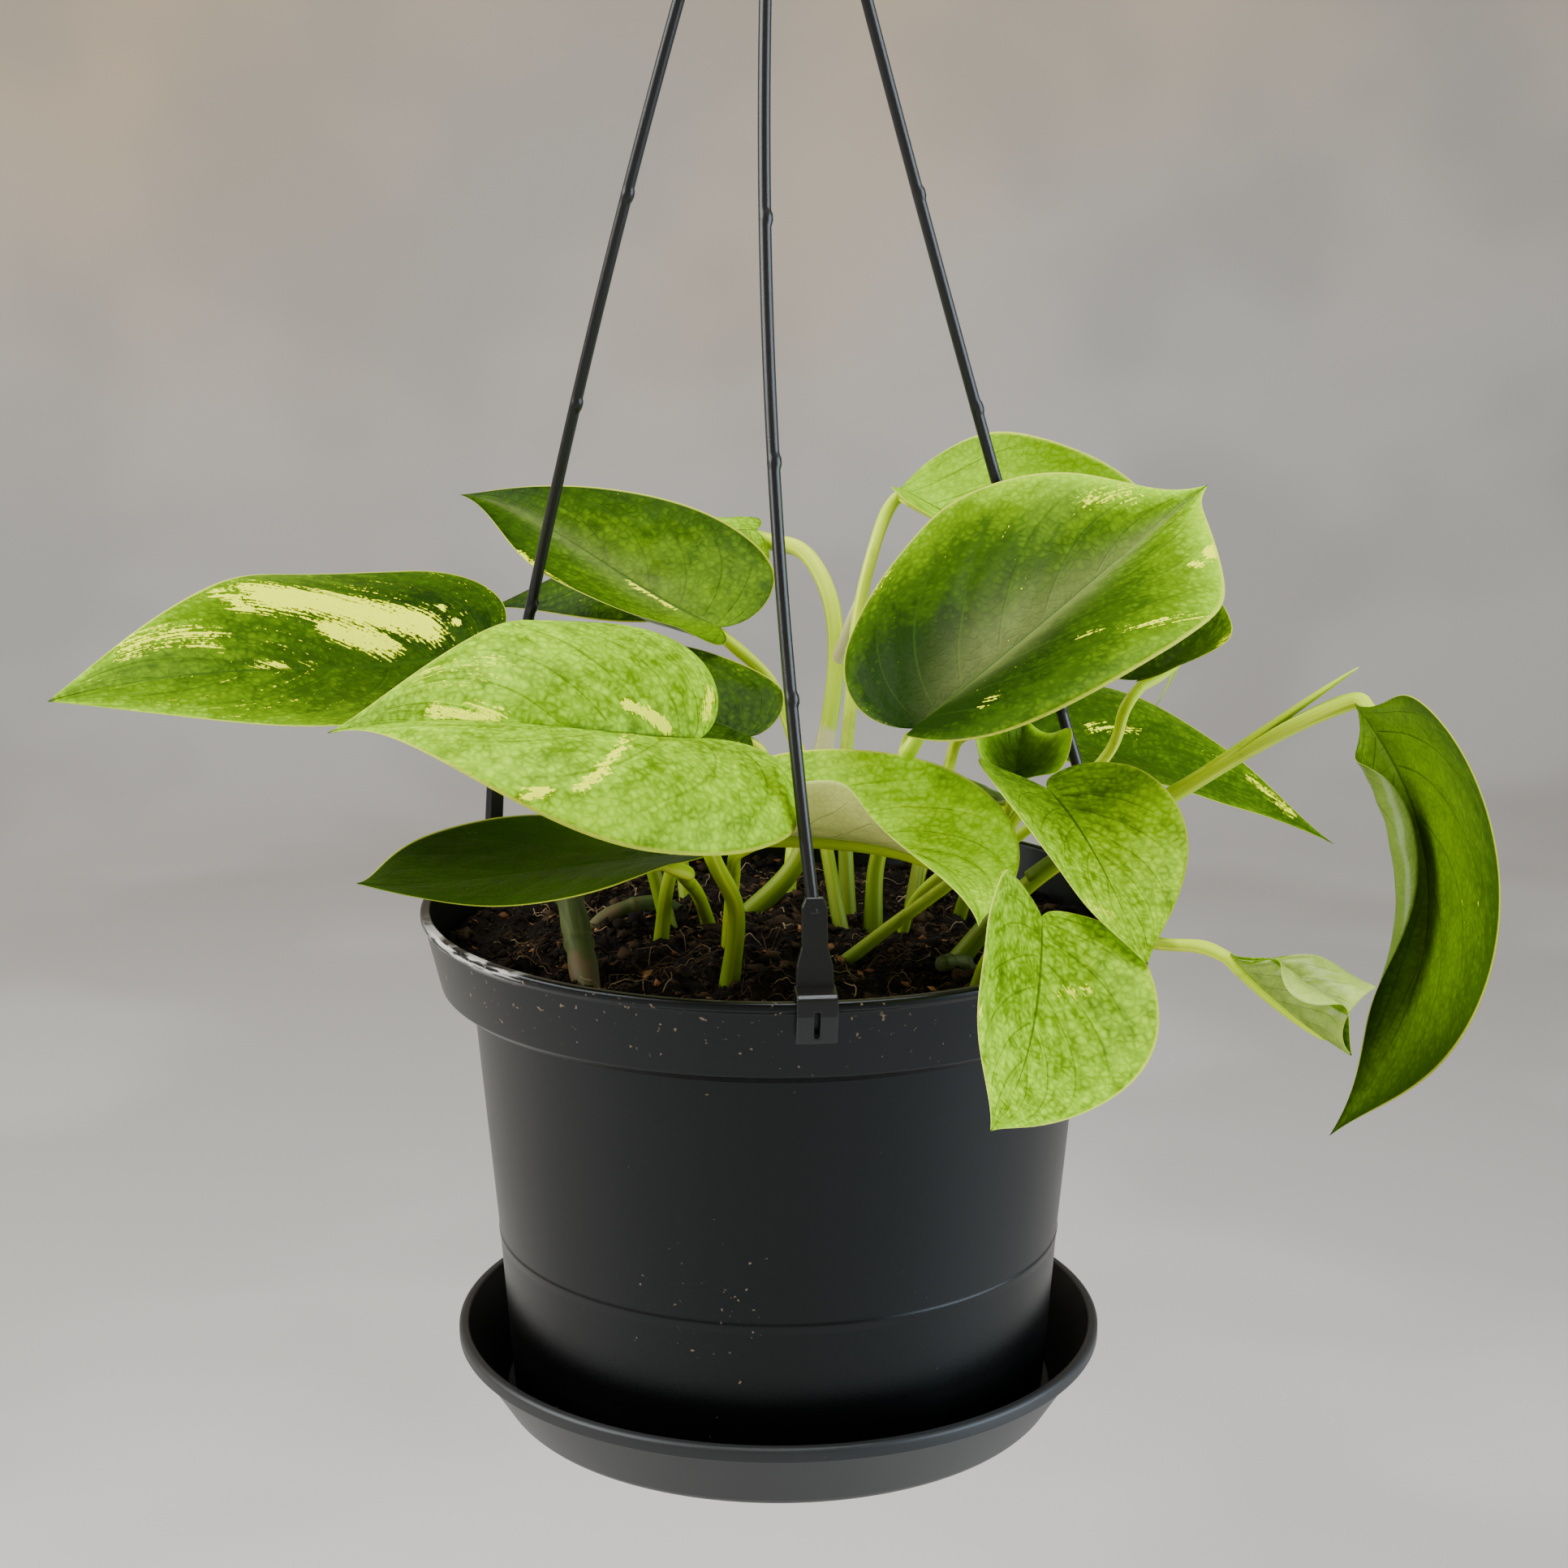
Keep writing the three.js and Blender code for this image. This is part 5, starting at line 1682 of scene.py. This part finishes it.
print("corners of a fibre:", 3 * FIBRE_STATIONS)

# %% [markdown]
# Wet peat is nearly black, with brown only where a crumb has dried. The scraps get their colour from the
# number stored on each of them, so that neighbours differ.

# %% The soil's materials
def soil_material():
    """A ramp of coarse and fine noise together, rough and deeply bumped."""
    s = Shader("soil", Specular_IOR_Level=0.15)
    place = s.place()
    coarse, fine = s.noise(place, 160.0, 4.0), s.noise(place, 900.0, 4.0)
    colour = s.ramp(coarse * 0.5 + fine * 0.5, [
        (0.36, (0.002, 0.001, 0.001)), (0.52, (0.005, 0.003, 0.002)), (0.64, (0.019, 0.011, 0.005)),
        (0.78, (0.080, 0.046, 0.021)),
    ])
    return s.finish(colour, 0.85 + fine * 0.15, s.bump(fine + coarse * 0.6, 0.0012, 0.9))


def scrap_material(name, dark, middle, light):
    """A ramp of each scrap's own number plus a little grain."""
    s = Shader(name, Specular_IOR_Level=0.15)
    grain = s.noise(s.place(), 700.0, 3.0)
    colour = s.ramp(s.number("grey") * 0.75 + grain * 0.3, [(0.1, dark), (0.55, middle), (0.95, light)])
    return s.finish(colour, 0.8 + grain * 0.15, s.bump(grain, 0.0003, 0.7))


SOIL_MATERIAL = soil_material()
CRUMB_MATERIAL = scrap_material(
    "crumbs", (0.002, 0.001, 0.001), (0.008, 0.005, 0.002), (0.062, 0.037, 0.017),
)
FIBRE_MATERIAL = scrap_material(
    "fibres", (0.020, 0.010, 0.004), (0.085, 0.050, 0.022), (0.420, 0.310, 0.170),
)
BARK_MATERIAL = scrap_material(
    "bark", (0.040, 0.018, 0.008), (0.160, 0.070, 0.028), (0.420, 0.200, 0.080),
)
print("materials so far:", len(bpy.data.materials))

# %% [markdown]
# A potting mix has grains of all sizes: thousands of fine crumbs, hundreds of clods and some flat chips
# of bark. Each kind is one mesh, which renders fast and keeps the list of pieces short.

# %% The soil and what lies on it
finish_piece(add_soil(), SOIL_MATERIAL, "soil", "soil")
crumbs = add_crumbs("soil_crumbs", count=5200, size=0.75, flatness=0.8, seed=21)
finish_piece(crumbs, CRUMB_MATERIAL, "soil")
clods = add_crumbs("soil_clods", count=620, size=2.1, flatness=0.8, seed=24)
finish_piece(clods, CRUMB_MATERIAL, "soil")
chips = add_crumbs("bark_chips", count=150, size=1.7, flatness=0.35, seed=22)
finish_piece(chips, BARK_MATERIAL, "soil")
finish_piece(add_fibres("coir_fibres", count=380, seed=23), FIBRE_MATERIAL, "soil")
print("meshes in the file so far:", len(bpy.data.meshes))

# %% [markdown]
# ## The pot and its saucer
#
# Both are turned shapes. Their profiles repeat the frame's, with every corner rounded as a mould rounds
# it, and the pot has its faint moulded line and its ring of drain holes.

# %% Rounded corners
CORNER_STEPS = 5


def rounded(profile, reach=0.5):
    """A closed profile with each corner replaced by a quadratic curve that starts reach before it."""
    corners = np.array(profile, float)
    before, after = np.roll(corners, 1, axis=0) - corners, np.roll(corners, -1, axis=0) - corners
    sides = (before, after)
    near = [np.minimum(reach, 0.45 * np.linalg.norm(d, axis=1, keepdims=True)) * unit(d) for d in sides]
    t = np.linspace(0, 1, CORNER_STEPS)[None, :, None]
    curve = (corners + near[0])[:, None] * (1 - t) ** 2 + corners[:, None] * 2 * t * (1 - t)
    curve = curve + (corners + near[1])[:, None] * t**2
    return curve.reshape(-1, 2)


def open_rounded(profile, reach=0.5):
    """The rounded corners of a profile whose two ends stay on the axis."""
    inner = rounded(profile, reach)[CORNER_STEPS:-CORNER_STEPS]
    return np.vstack([profile[0], inner, profile[-1]])


print("points of a rounded square:", len(rounded([(0, 0), (9, 0), (9, 9), (0, 9)])))

# %% [markdown]
# A turned shape is its profile carried round the axis: a grid of stations by sides, with one point on the
# axis at each end.

# %% Turning a profile
LATHE_SIDES = 240


def lathe(name, profile, sides=LATHE_SIDES):
    """A profile of radius and height, from axis to axis, carried round the upright axis."""
    profile = np.asarray(profile, float)
    angle = np.linspace(0, 2 * np.pi, sides, endpoint=False)[None, :]
    ring = profile[1:-1]
    grid = np.stack([
        ring[:, :1] * np.cos(angle), ring[:, :1] * np.sin(angle), np.repeat(ring[:, 1:], sides, axis=1),
    ], axis=-1)
    rows = len(ring)
    poles = [[0, 0, profile[0][1]], [0, 0, profile[-1][1]]]
    points = np.vstack([grid.reshape(-1, 3), poles])
    spoke = np.arange(sides)
    beside = (spoke + 1) % sides
    last = (rows - 1) * sides
    fans = np.concatenate([
        fan_faces(rows * sides, spoke, beside),
        fan_faces(rows * sides + 1, last + beside, last + spoke),
    ])
    obj = add_mesh(name, points, grid_faces(rows, sides, closed=True), fans)
    fix_normals(obj)
    return obj


print("one side spans", round(360 / LATHE_SIDES, 1), "degrees")

# %% [markdown]
# The pot has a deep band under its rim, a wall with a step in it and a raised floor. One closed profile
# gives its outside and its inside together, so that the wall has its real thickness all over.

# %% The pot
FLOOR = -POT_HEIGHT
POT_PROFILE = [
    (0, FLOOR + 3), (58, FLOOR + 3), (62, FLOOR + WALL), (BODY_FOOT_RADIUS - WALL, FLOOR + WALL),
    (BODY_TOP_RADIUS - WALL, -BAND_HEIGHT - 3), (BAND_FOOT_RADIUS - WALL - 1, -BAND_HEIGHT + 1),
    (RIM_RADIUS - 2.8, -0.6), (RIM_RADIUS - 2.4, 0), (RIM_RADIUS - 0.5, 0), (RIM_RADIUS, -0.6),
    (RIM_RADIUS, -2.2), (RIM_RADIUS - 1, -3), (BAND_FOOT_RADIUS, -BAND_HEIGHT + 2),
    (BAND_FOOT_RADIUS - 2.5, -BAND_HEIGHT), (BODY_TOP_RADIUS, -BAND_HEIGHT - 1.5),
    (80.05, -93.5), (80.25, -94.2), (79.85, -96.6),
    (BODY_FOOT_RADIUS + 0.4, FLOOR + 4), (BODY_FOOT_RADIUS, FLOOR), (64, FLOOR), (60, FLOOR + 1.4),
    (0, FLOOR + 1.4),
]
pot = lathe("grow_pot", open_rounded(POT_PROFILE))
print("corners of the pot's profile:", len(POT_PROFILE))

# %% [markdown]
# The holes are real openings. An exact Boolean with upright cylinders cuts them, all in one step, which
# keeps the pot a closed body.

# %% Cutting
def cut_away(obj, cutter):
    """Takes the cutter's volume from a closed mesh with an exact Boolean, then drops the cutter."""
    modifier = obj.modifiers.new("cut", "BOOLEAN")
    modifier.operation = "DIFFERENCE"
    modifier.solver = "EXACT"
    modifier.object = cutter
    bpy.context.view_layer.objects.active = obj
    bpy.ops.object.modifier_apply(modifier=modifier.name)
    bpy.data.objects.remove(cutter)


print("pot faces before it is cut:", len(pot.data.polygons))

# %% The drain holes
DRAIN_HOLES = 6
DRAIN_RADIUS = 2.4
DRAIN_CIRCLE = 46.0
DRAIN_SIDES = 32


def drill(obj, places, radius, low, high):
    """Cuts upright round holes, all with one mesh of cutters."""
    angle = np.linspace(0, 2 * np.pi, DRAIN_SIDES, endpoint=False)
    circle = np.stack([radius * np.cos(angle), radius * np.sin(angle)], -1)
    points, quads, fans = [], [], []
    for x, y in places:
        first = sum(len(p) for p in points)
        for level in (low, high):
            points.append(np.column_stack([circle + (x, y), np.full(len(circle), level)]))
        points.append(np.array([[x, y, low], [x, y, high]]))
        quads.append(grid_faces(2, len(circle), first, closed=True))
        spoke = np.arange(len(circle))
        beside = (spoke + 1) % len(circle)
        lower, upper = first + 2 * len(circle), first + 2 * len(circle) + 1
        top = first + len(circle)
        fans.append(fan_faces(lower, first + beside, first + spoke))
        fans.append(fan_faces(upper, top + spoke, top + beside))
    cutter = add_mesh("drain_cutter", np.vstack(points), np.concatenate(quads), np.concatenate(fans))
    fix_normals(cutter)
    cut_away(obj, cutter)


turn = 2 * np.pi * (np.arange(DRAIN_HOLES) + 0.5) / DRAIN_HOLES
drill(pot, DRAIN_CIRCLE * np.stack([np.cos(turn), np.sin(turn)], -1), DRAIN_RADIUS, FLOOR - 4, FLOOR + 8)
print("pot faces with its holes:", len(pot.data.polygons))

# %% [markdown]
# The saucer is turned in the same way. It is wider than the pot's foot, and its rim stands up round it,
# so a dark gutter shows between the two.

# %% The saucer
UNDER = FLOOR - SEAT_GAP - SAUCER_WALL
SAUCER_TOP = UNDER + SAUCER_HEIGHT
SAUCER_PROFILE = [
    (0, UNDER), (SAUCER_FOOT_RADIUS - 1.5, UNDER), (SAUCER_FOOT_RADIUS, UNDER + 1.5),
    (SAUCER_RIM_RADIUS - 2.2, SAUCER_TOP - 4.6), (SAUCER_RIM_RADIUS, SAUCER_TOP - 4),
    (SAUCER_RIM_RADIUS, SAUCER_TOP - 0.8), (SAUCER_RIM_RADIUS - 0.8, SAUCER_TOP),
    (SAUCER_RIM_RADIUS - 2.6, SAUCER_TOP), (SAUCER_RIM_RADIUS - 3.2, SAUCER_TOP - 1.2),
    (SAUCER_FOOT_RADIUS - 0.6, FLOOR - SEAT_GAP + 1.2), (BODY_FOOT_RADIUS + 2.4, FLOOR - SEAT_GAP),
    (0, FLOOR - SEAT_GAP),
]
saucer = lathe("drip_saucer", open_rounded(SAUCER_PROFILE))
print("saucer faces:", len(saucer.data.polygons))

# %% [markdown]
# ## Moulded black plastic
#
# The black is never quite black. It has a fine grain from the mould, a slight cloudiness in its gloss,
# pale dust below the rim and on the band, and white marks along the lip that are partly scuffs and partly a
# painted highlight of glare.

# %% The plastic materials
COOL_SHINE = (0.84, 0.94, 1.0, 1.0)


def plastic_material(name, black, roughness, dust_and_glare, grain_size, gloss):
    """A clouded black with dust specks below the rim, and white on the lip that is partly scuffs and partly
    a painted highlight of glare, both scaled by one argument.
    """
    s = Shader(name, Specular_IOR_Level=gloss, Specular_Tint=COOL_SHINE)
    place = s.place()
    x, y, z = s.parts(place)
    cloud = s.noise(place, 26.0, 3.0)
    grain = s.noise(place, grain_size, 2.0)
    speck = s.noise(place, 520.0, 2.0)
    height = z + RIM_DROP * MM
    spill = height.rise(-0.118, -0.096) * height.rise(-0.060, -0.088) * abs(x + 0.021).rise(0.034, 0.004)
    dusty = height.rise(-0.034, -0.006).most(spill) * y.rise(0.0, -0.02)
    specks = (speck + dusty * 0.09).rise(0.745, 0.80) * dust_and_glare
    colour = s.mix(cloud.rise(0.3, 0.75) * 0.6, black, tuple(1.6 * c for c in black))
    colour = s.mix(specks, colour, (0.20, 0.15, 0.10))
    # White on the front left of the lip: partly scuffs and residue, partly a painted highlight of glare.
    scuff_and_glare_noise = s.noise(s.vector(x * 90.0, y * 90.0, z * 900.0), 1.0, 3.0)
    lip = height.rise(-0.0040, -0.0006) * x.rise(-0.060, -0.074)
    lip = lip * x.rise(-0.099, -0.090) * y.rise(-0.01, -0.03)
    lip_scuffs_and_glare = lip * (scuff_and_glare_noise + cloud * 0.3).rise(0.58, 0.70) * dust_and_glare
    colour = s.mix(lip_scuffs_and_glare, colour, (0.70, 0.70, 0.68))
    rough = roughness + (cloud - 0.5) * 0.12 + specks * 0.4
    return s.finish(colour, rough, s.bump(grain, 0.00008, 0.5))


print("tint of the shine:", COOL_SHINE[:3])

# %% [markdown]
# Pot, saucer and hanger are separate mouldings. The pot is the deepest black, the saucer is the dullest,
# and the hanger is the smoothest and has no dust and no painted glare. Only these numbers differ, so one
# recipe serves all.

# %% Pot, saucer and hanger plastic
POT_MATERIAL = plastic_material(
    "pot_plastic", (0.0006, 0.0006, 0.0006), roughness=0.31, dust_and_glare=1.0, grain_size=2600.0, gloss=0.31,
)
HANGER_MATERIAL = plastic_material(
    "hanger_plastic", (0.0090, 0.0083, 0.0078), roughness=0.27, dust_and_glare=0.0, grain_size=3400.0, gloss=0.44,
)
finish_piece(pot, POT_MATERIAL, "pot_plastic", "pot")
SAUCER_MATERIAL = plastic_material(
    "saucer_plastic", (0.0120, 0.0120, 0.0124), roughness=0.46, dust_and_glare=1.0, grain_size=2600.0, gloss=0.48,
)
finish_piece(saucer, SAUCER_MATERIAL, "pot_plastic", "saucer")
print("materials so far:", len(bpy.data.materials))

# %% [markdown]
# ## The hanger
#
# Three slim rods run from a hook to the rim. Each is moulded in one with its clip: a strap that leans in
# with the rod, a bridge over the rim and a tab outside with a slit. The clip's plates are outlines given
# a width, with small bevels, and the rod is a tube along a bowed cubic curve.

# %% Plates
def plate(outline, depth, frame_of):
    """A prism of an outline; frame_of places its points (outline x, outline y, depth) in space."""
    outline = np.asarray(outline, float)
    count = len(outline)
    points = [frame_of(outline[:, 0], outline[:, 1], np.full(count, d)) for d in (-depth / 2, depth / 2)]
    sides = [[i, (i + 1) % count, count + (i + 1) % count, count + i] for i in range(count)]
    return np.vstack(points), [list(range(count))[::-1], list(range(count, 2 * count)), *sides]


def upright(x, z, d):
    """An outline of radius and height, with its depth across."""
    return np.stack([x, d, z], axis=-1)


def add_plate(name, points, faces, spin):
    """A plate's mesh, turned to its place on the rim."""
    mesh = bpy.data.meshes.new(name)
    mesh.from_pydata(((points @ spin + (0, 0, -RIM_DROP)) * MM).tolist(), [], faces)
    obj = bpy.data.objects.new(name, mesh)
    bpy.context.scene.collection.objects.link(obj)
    fix_normals(obj)
    return obj


print("faces of a plate of four corners:", len(plate([(0, 0), (1, 0), (1, 1), (0, 1)], 1.0, upright)[1]))

# %% [markdown]
# The clip is a bent strip seen from its edge: it hooks over the rim from the inside, runs across it and
# ends in a tab outside, through which the slit is cut. The strap above it is a plate with sloping
# shoulders, seen from the front.

# %% The clip's outlines
CLIP_WIDTH = 10.4
CLIP_BEVEL = 0.45
STRAP_THICKNESS = 2.4
STRAP_LEAN = 4.0
STRAP_FOOT = (RIM_RADIUS - 5, 0.0, 1.0)
STRAP_REACH = 20.0
SLOT_WIDTH = 1.3
SLOT = [(RIM_RADIUS - 4, -9.0), (RIM_RADIUS + 4, -9.0), (RIM_RADIUS + 4, -2.0), (RIM_RADIUS - 4, -2.0)]
INSIDE = RIM_RADIUS - 5.8
BRIDGE = [
    (INSIDE, -5), (INSIDE + 1.3, -5), (INSIDE + 1.6, 0.4), (RIM_RADIUS + 0.5, 0.4), (RIM_RADIUS + 0.5, -3),
    (RIM_RADIUS - 1.8, -10.4), (RIM_RADIUS - 0.3, -10.8), (RIM_RADIUS + 2, -3), (RIM_RADIUS + 2, 1.4),
    (RIM_RADIUS + 1, 2.4), (INSIDE, 3.2), (INSIDE - 0.6, 1),
]
HALF_STRAP = [(4.9, 0), (4.6, 7), (3.3, 12), (3.2, 22), (2.2, 24.5)]
STRAP = HALF_STRAP + [(-y, z) for y, z in reversed(HALF_STRAP)]


def lean(x, y, z):
    """Tips points by the strap's lean about the rim's direction and moves them to the strap's foot."""
    angle = np.radians(STRAP_LEAN)
    return np.stack([
        x * np.cos(angle) - z * np.sin(angle) + STRAP_FOOT[0],
        y,
        x * np.sin(angle) + z * np.cos(angle) + STRAP_FOOT[2],
    ], axis=-1)


print("corners of bridge and strap:", len(BRIDGE), len(STRAP))

# %% [markdown]
# Clip and strap are turned to their place on the rim and get small bevels, as a mould's edges are never
# sharp. A Bevel modifier does that well, because the plates are flat.

# %% A clip
def add_clip(name, spin):
    """The bridge with its slit, and the strap on it, both with rounded edges."""
    clip = add_plate(f"clip_{name}", *plate(BRIDGE, CLIP_WIDTH, upright), spin)
    cut_away(clip, add_plate("slot", *plate(SLOT, SLOT_WIDTH, upright), spin))
    strap_points = plate(STRAP, STRAP_THICKNESS, lambda y, z, d: lean(d, y, z))
    leaning = add_plate(f"strap_{name}", *strap_points, spin)
    for piece in (clip, leaning):
        bevel = piece.modifiers.new("bevel", "BEVEL")
        bevel.width = CLIP_BEVEL * MM
        bevel.segments = 3
    return clip, leaning


print("edges are rounded by", CLIP_BEVEL, "mm")

# %% [markdown]
# The rod is a tube along a cubic curve from the strap to the hub. It sags sideways a little, and small nubs
# show where the mould let the plastic in.

# %% A rod
HEAD_RADIUS = 3.4  # how far from the hub's axis a rod ends
ROD_STATIONS = 420
NUB_SPREAD = 0.0045
NUB_SWELL = 0.24
NUB_SHIFT = 0.22
ROD_SIDES = 20


def add_rod(name, spin, bow, nubs):
    """Cubic curve from strap to hub, bowed by one vector, thicker and shifted a little at each nub."""
    inward = STRAP_REACH * np.sin(np.radians(STRAP_LEAN))
    foot = np.array([STRAP_FOOT[0] - inward, 0, STRAP_FOOT[2] + STRAP_REACH]) @ spin
    head = np.array([HEAD_RADIUS, 0, HUB_HEIGHT - 0.4]) @ spin
    third = (head - foot) / 3
    control = np.array([foot, foot + third + bow, head - third + bow, head])
    t = np.linspace(0, 1, ROD_STATIONS)[:, None]
    path = bezier(control, t)
    swell = sum(np.exp(-(((t[:, 0] - nub) / NUB_SPREAD) ** 4)) for nub in nubs)
    path[:, 0] += NUB_SHIFT * swell
    return add_tube(f"rod_{name}", path, ROD_RADIUS + NUB_SWELL * swell, ROD_SIDES)


print("rod and nub:", 2 * ROD_RADIUS, "and", round(2 * (ROD_RADIUS + NUB_SWELL), 2), "mm thick")

# %% [markdown]
# The strands differ in where they clip on, how they bow and where their nubs sit. So a row of numbers
# stands for each of them, and one function makes all three.

# %% The three strands
STRANDS = dict(  # azimuth in degrees, bow in millimetres, nubs as shares of the rod
    front=(-84.4, (-10, 0, 0), (0.172, 0.365, 0.565)),
    left=(153, (-6, -4, 0), (0.192, 0.388, 0.581)),
    right=(17, (-2, 0, 0), (0.098, 0.386, 0.582)),
)


def add_strand(name, azimuth, bow, nubs):
    """A clip and its rod, turned by the azimuth to their place on the rim."""
    turn = np.radians(azimuth)
    spin = np.array([[np.cos(turn), np.sin(turn), 0], [-np.sin(turn), np.cos(turn), 0], [0, 0, 1]])
    clip, leaning = add_clip(name, spin)
    rod = add_rod(name, spin, bow, nubs)
    finish_piece(clip, HANGER_MATERIAL, "hanger_plastic", f"strand_{name}")
    finish_piece(leaning, HANGER_MATERIAL, "hanger_plastic")
    finish_piece(rod, HANGER_MATERIAL, "hanger_plastic")


for name, strand in STRANDS.items():
    add_strand(name, *strand)
print("strands:", len(STRANDS))

# %% [markdown]
# The strands meet in a small turned hub under a hook of round wire form. Both are above the photo's edge,
# so they are made plainly, as such hangers have them.

# %% The hook and its hub
HOOK_RADIUS = 11.0
HOOK_WIRE = 2.4
HOOK_ANGLES = (10, 45, 80, 115, 150, 185, 205)

hub = lathe("hook_hub", open_rounded([
    (0, HUB_HEIGHT + 0.4), (7.2, HUB_HEIGHT + 0.4), (8, HUB_HEIGHT + 2), (6.4, HUB_HEIGHT + 5),
    (HOOK_WIRE, HUB_HEIGHT + 8), (0, HUB_HEIGHT + 8),
], 0.8), 96)
hook_centre = RIM_DROP + HOOK_WIRE - HOOK_RADIUS
bend_angles = np.radians(HOOK_ANGLES)
bend_x = HOOK_RADIUS * np.cos(bend_angles)
bend_z = hook_centre + HOOK_RADIUS * np.sin(bend_angles)
bend_points = np.stack([bend_x, 0 * bend_angles, bend_z], axis=-1)
hook_route = [(0, 0, HUB_HEIGHT + 4), (0, 0, HUB_HEIGHT + 10), (6, 0, hook_centre - 9), *bend_points]
hook = add_tube("hook", smooth_path(hook_route, 140), HOOK_WIRE, 24)
finish_piece(hub, HANGER_MATERIAL, "hanger_plastic", "hanger_hook")
finish_piece(hook, HANGER_MATERIAL, "hanger_plastic")
print("faces of hub and hook:", len(hub.data.polygons), len(hook.data.polygons))

# %% [markdown]
# ## The studio
#
# The pot hangs over a plain pale floor that sweeps up into a round backdrop, so every view ends in the
# same soft grey. A broad lamp above on the left is the window, and two weaker ones fill the shade.

# %% The backdrop
FLOOR_DROP = 900.0
STUDIO_RADIUS = 3200.0
STUDIO_HEIGHT = 3200.0
STUDIO_SIDES = 96
SWEEP = 900.0

sweep_angle = np.linspace(0, np.pi / 2, 16)
sweep_radius = STUDIO_RADIUS - SWEEP + SWEEP * np.sin(sweep_angle)
sweep_height = SWEEP - SWEEP * np.cos(sweep_angle)
stage_profile = np.vstack([
    [[0, 0], [1200, 0]],
    np.stack([sweep_radius, sweep_height], axis=-1),
    [[STUDIO_RADIUS, STUDIO_HEIGHT]],
])
stage_turn = np.linspace(0, 2 * np.pi, STUDIO_SIDES, endpoint=False)[None, :]
stage_grid = np.stack([
    stage_profile[1:, :1] * np.cos(stage_turn), stage_profile[1:, :1] * np.sin(stage_turn),
    np.repeat(stage_profile[1:, 1:], STUDIO_SIDES, axis=1) - FLOOR_DROP + RIM_DROP,
], -1)
spoke = np.arange(STUDIO_SIDES)
stage_points = np.vstack([stage_grid.reshape(-1, 3), [[0, 0, -FLOOR_DROP + RIM_DROP]]])
stage_fan = fan_faces(len(stage_points) - 1, spoke, (spoke + 1) % STUDIO_SIDES)
stage_faces = grid_faces(len(stage_profile) - 1, STUDIO_SIDES, closed=True)[:, ::-1]
studio = add_mesh("studio", stage_points, stage_faces, stage_fan)
print("faces of the backdrop:", len(studio.data.polygons))

# %% [markdown]
# The wall in the photo is a matt grey with faint clouds. Light is painted on it too: it is warmer towards
# the top, as under warm light, and painted shade darkens it to the right. It is one paint with three soft
# masks.

# %% The backdrop's paint
WALL_GREY = (0.535, 0.524, 0.506)
WALL_WARM_LIGHT = (0.610, 0.490, 0.345)
WALL_SHADE = (0.350, 0.338, 0.320)

wall = Shader("studio")
wall_place = wall.place()
tint = wall.noise(wall_place, 1.5, 1.0)
wall_x, _, wall_z = wall.parts(wall_place)
# Painted warm light: the paint warms towards the top and the left.
warm_light = (wall_z * 1.1 - wall_x * 0.14 + (tint - 0.5) * 1.3).rise(-0.80, 0.50)
paint = wall.mix(warm_light, WALL_GREY, WALL_WARM_LIGHT)
cloud = wall.noise(wall_place, 2.6, 2.0, 2.0)
# Painted shade: the paint darkens towards the right, over the faint clouds.
shade = cloud.rise(0.40, 0.62) * 0.42 + wall_x.rise(0.1, 1.2) * 0.45
paint = wall.mix(shade, paint, WALL_SHADE)
studio.data.materials.append(wall.finish(paint, 0.8 + tint * 0.1))
studio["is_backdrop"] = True
print("nodes of the paint:", len(wall.tree.nodes))

# %% [markdown]
# The light in the photo is soft and falls in from the left. Area lamps give such broad shine on leaves
# and plastic, and a dim, slightly blue world stands for the rest of the room.

# %% The lamps
def add_lamp(name, place, target, size, power, colour):
    """A square area lamp at a place (millimetres from the rim) that faces a target."""
    data = bpy.data.lights.new(name, "AREA")
    data.shape = "SQUARE"
    data.size = size
    data.energy = power
    data.color = colour
    lamp = bpy.data.objects.new(name, data)
    place, target = np.array(place, float), np.array(target, float)
    lamp.location = (place + (0, 0, -RIM_DROP)) * MM
    lamp.rotation_mode = "QUATERNION"
    lamp.rotation_quaternion = Vector(target - place).to_track_quat("-Z", "Y")
    bpy.context.scene.collection.objects.link(lamp)


MIDDLE = (0, 0, 20)
add_lamp("window", (-1700, -350, 1150), MIDDLE, size=1.7, power=84.0, colour=(1.0, 0.98, 0.95))
add_lamp("ceiling", (150, -150, 1700), MIDDLE, size=1.1, power=36.0, colour=(1.0, 0.97, 0.93))
add_lamp("fill", (1750, -520, 380), MIDDLE, size=1.6, power=62.0, colour=(0.80, 0.90, 1.0))
world = bpy.data.worlds.new("room")
world.use_nodes = True
world.node_tree.nodes["Background"].inputs["Color"].default_value = (0.92, 0.95, 1.0, 1)
world.node_tree.nodes["Background"].inputs["Strength"].default_value = 0.22
bpy.context.scene.world = world
print("lamps:", [lamp.name for lamp in bpy.data.lights])

# The last lines print the size of the frame's box and of the box of the finished pieces.

boxes = {"cad": [list(corner) for corner in cad_box], "visual": [list(corner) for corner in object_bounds()]}
for name, (low, high) in boxes.items():
    print(name, [round(1000 * (b - a), 1) for a, b in zip(low, high)], "mm")
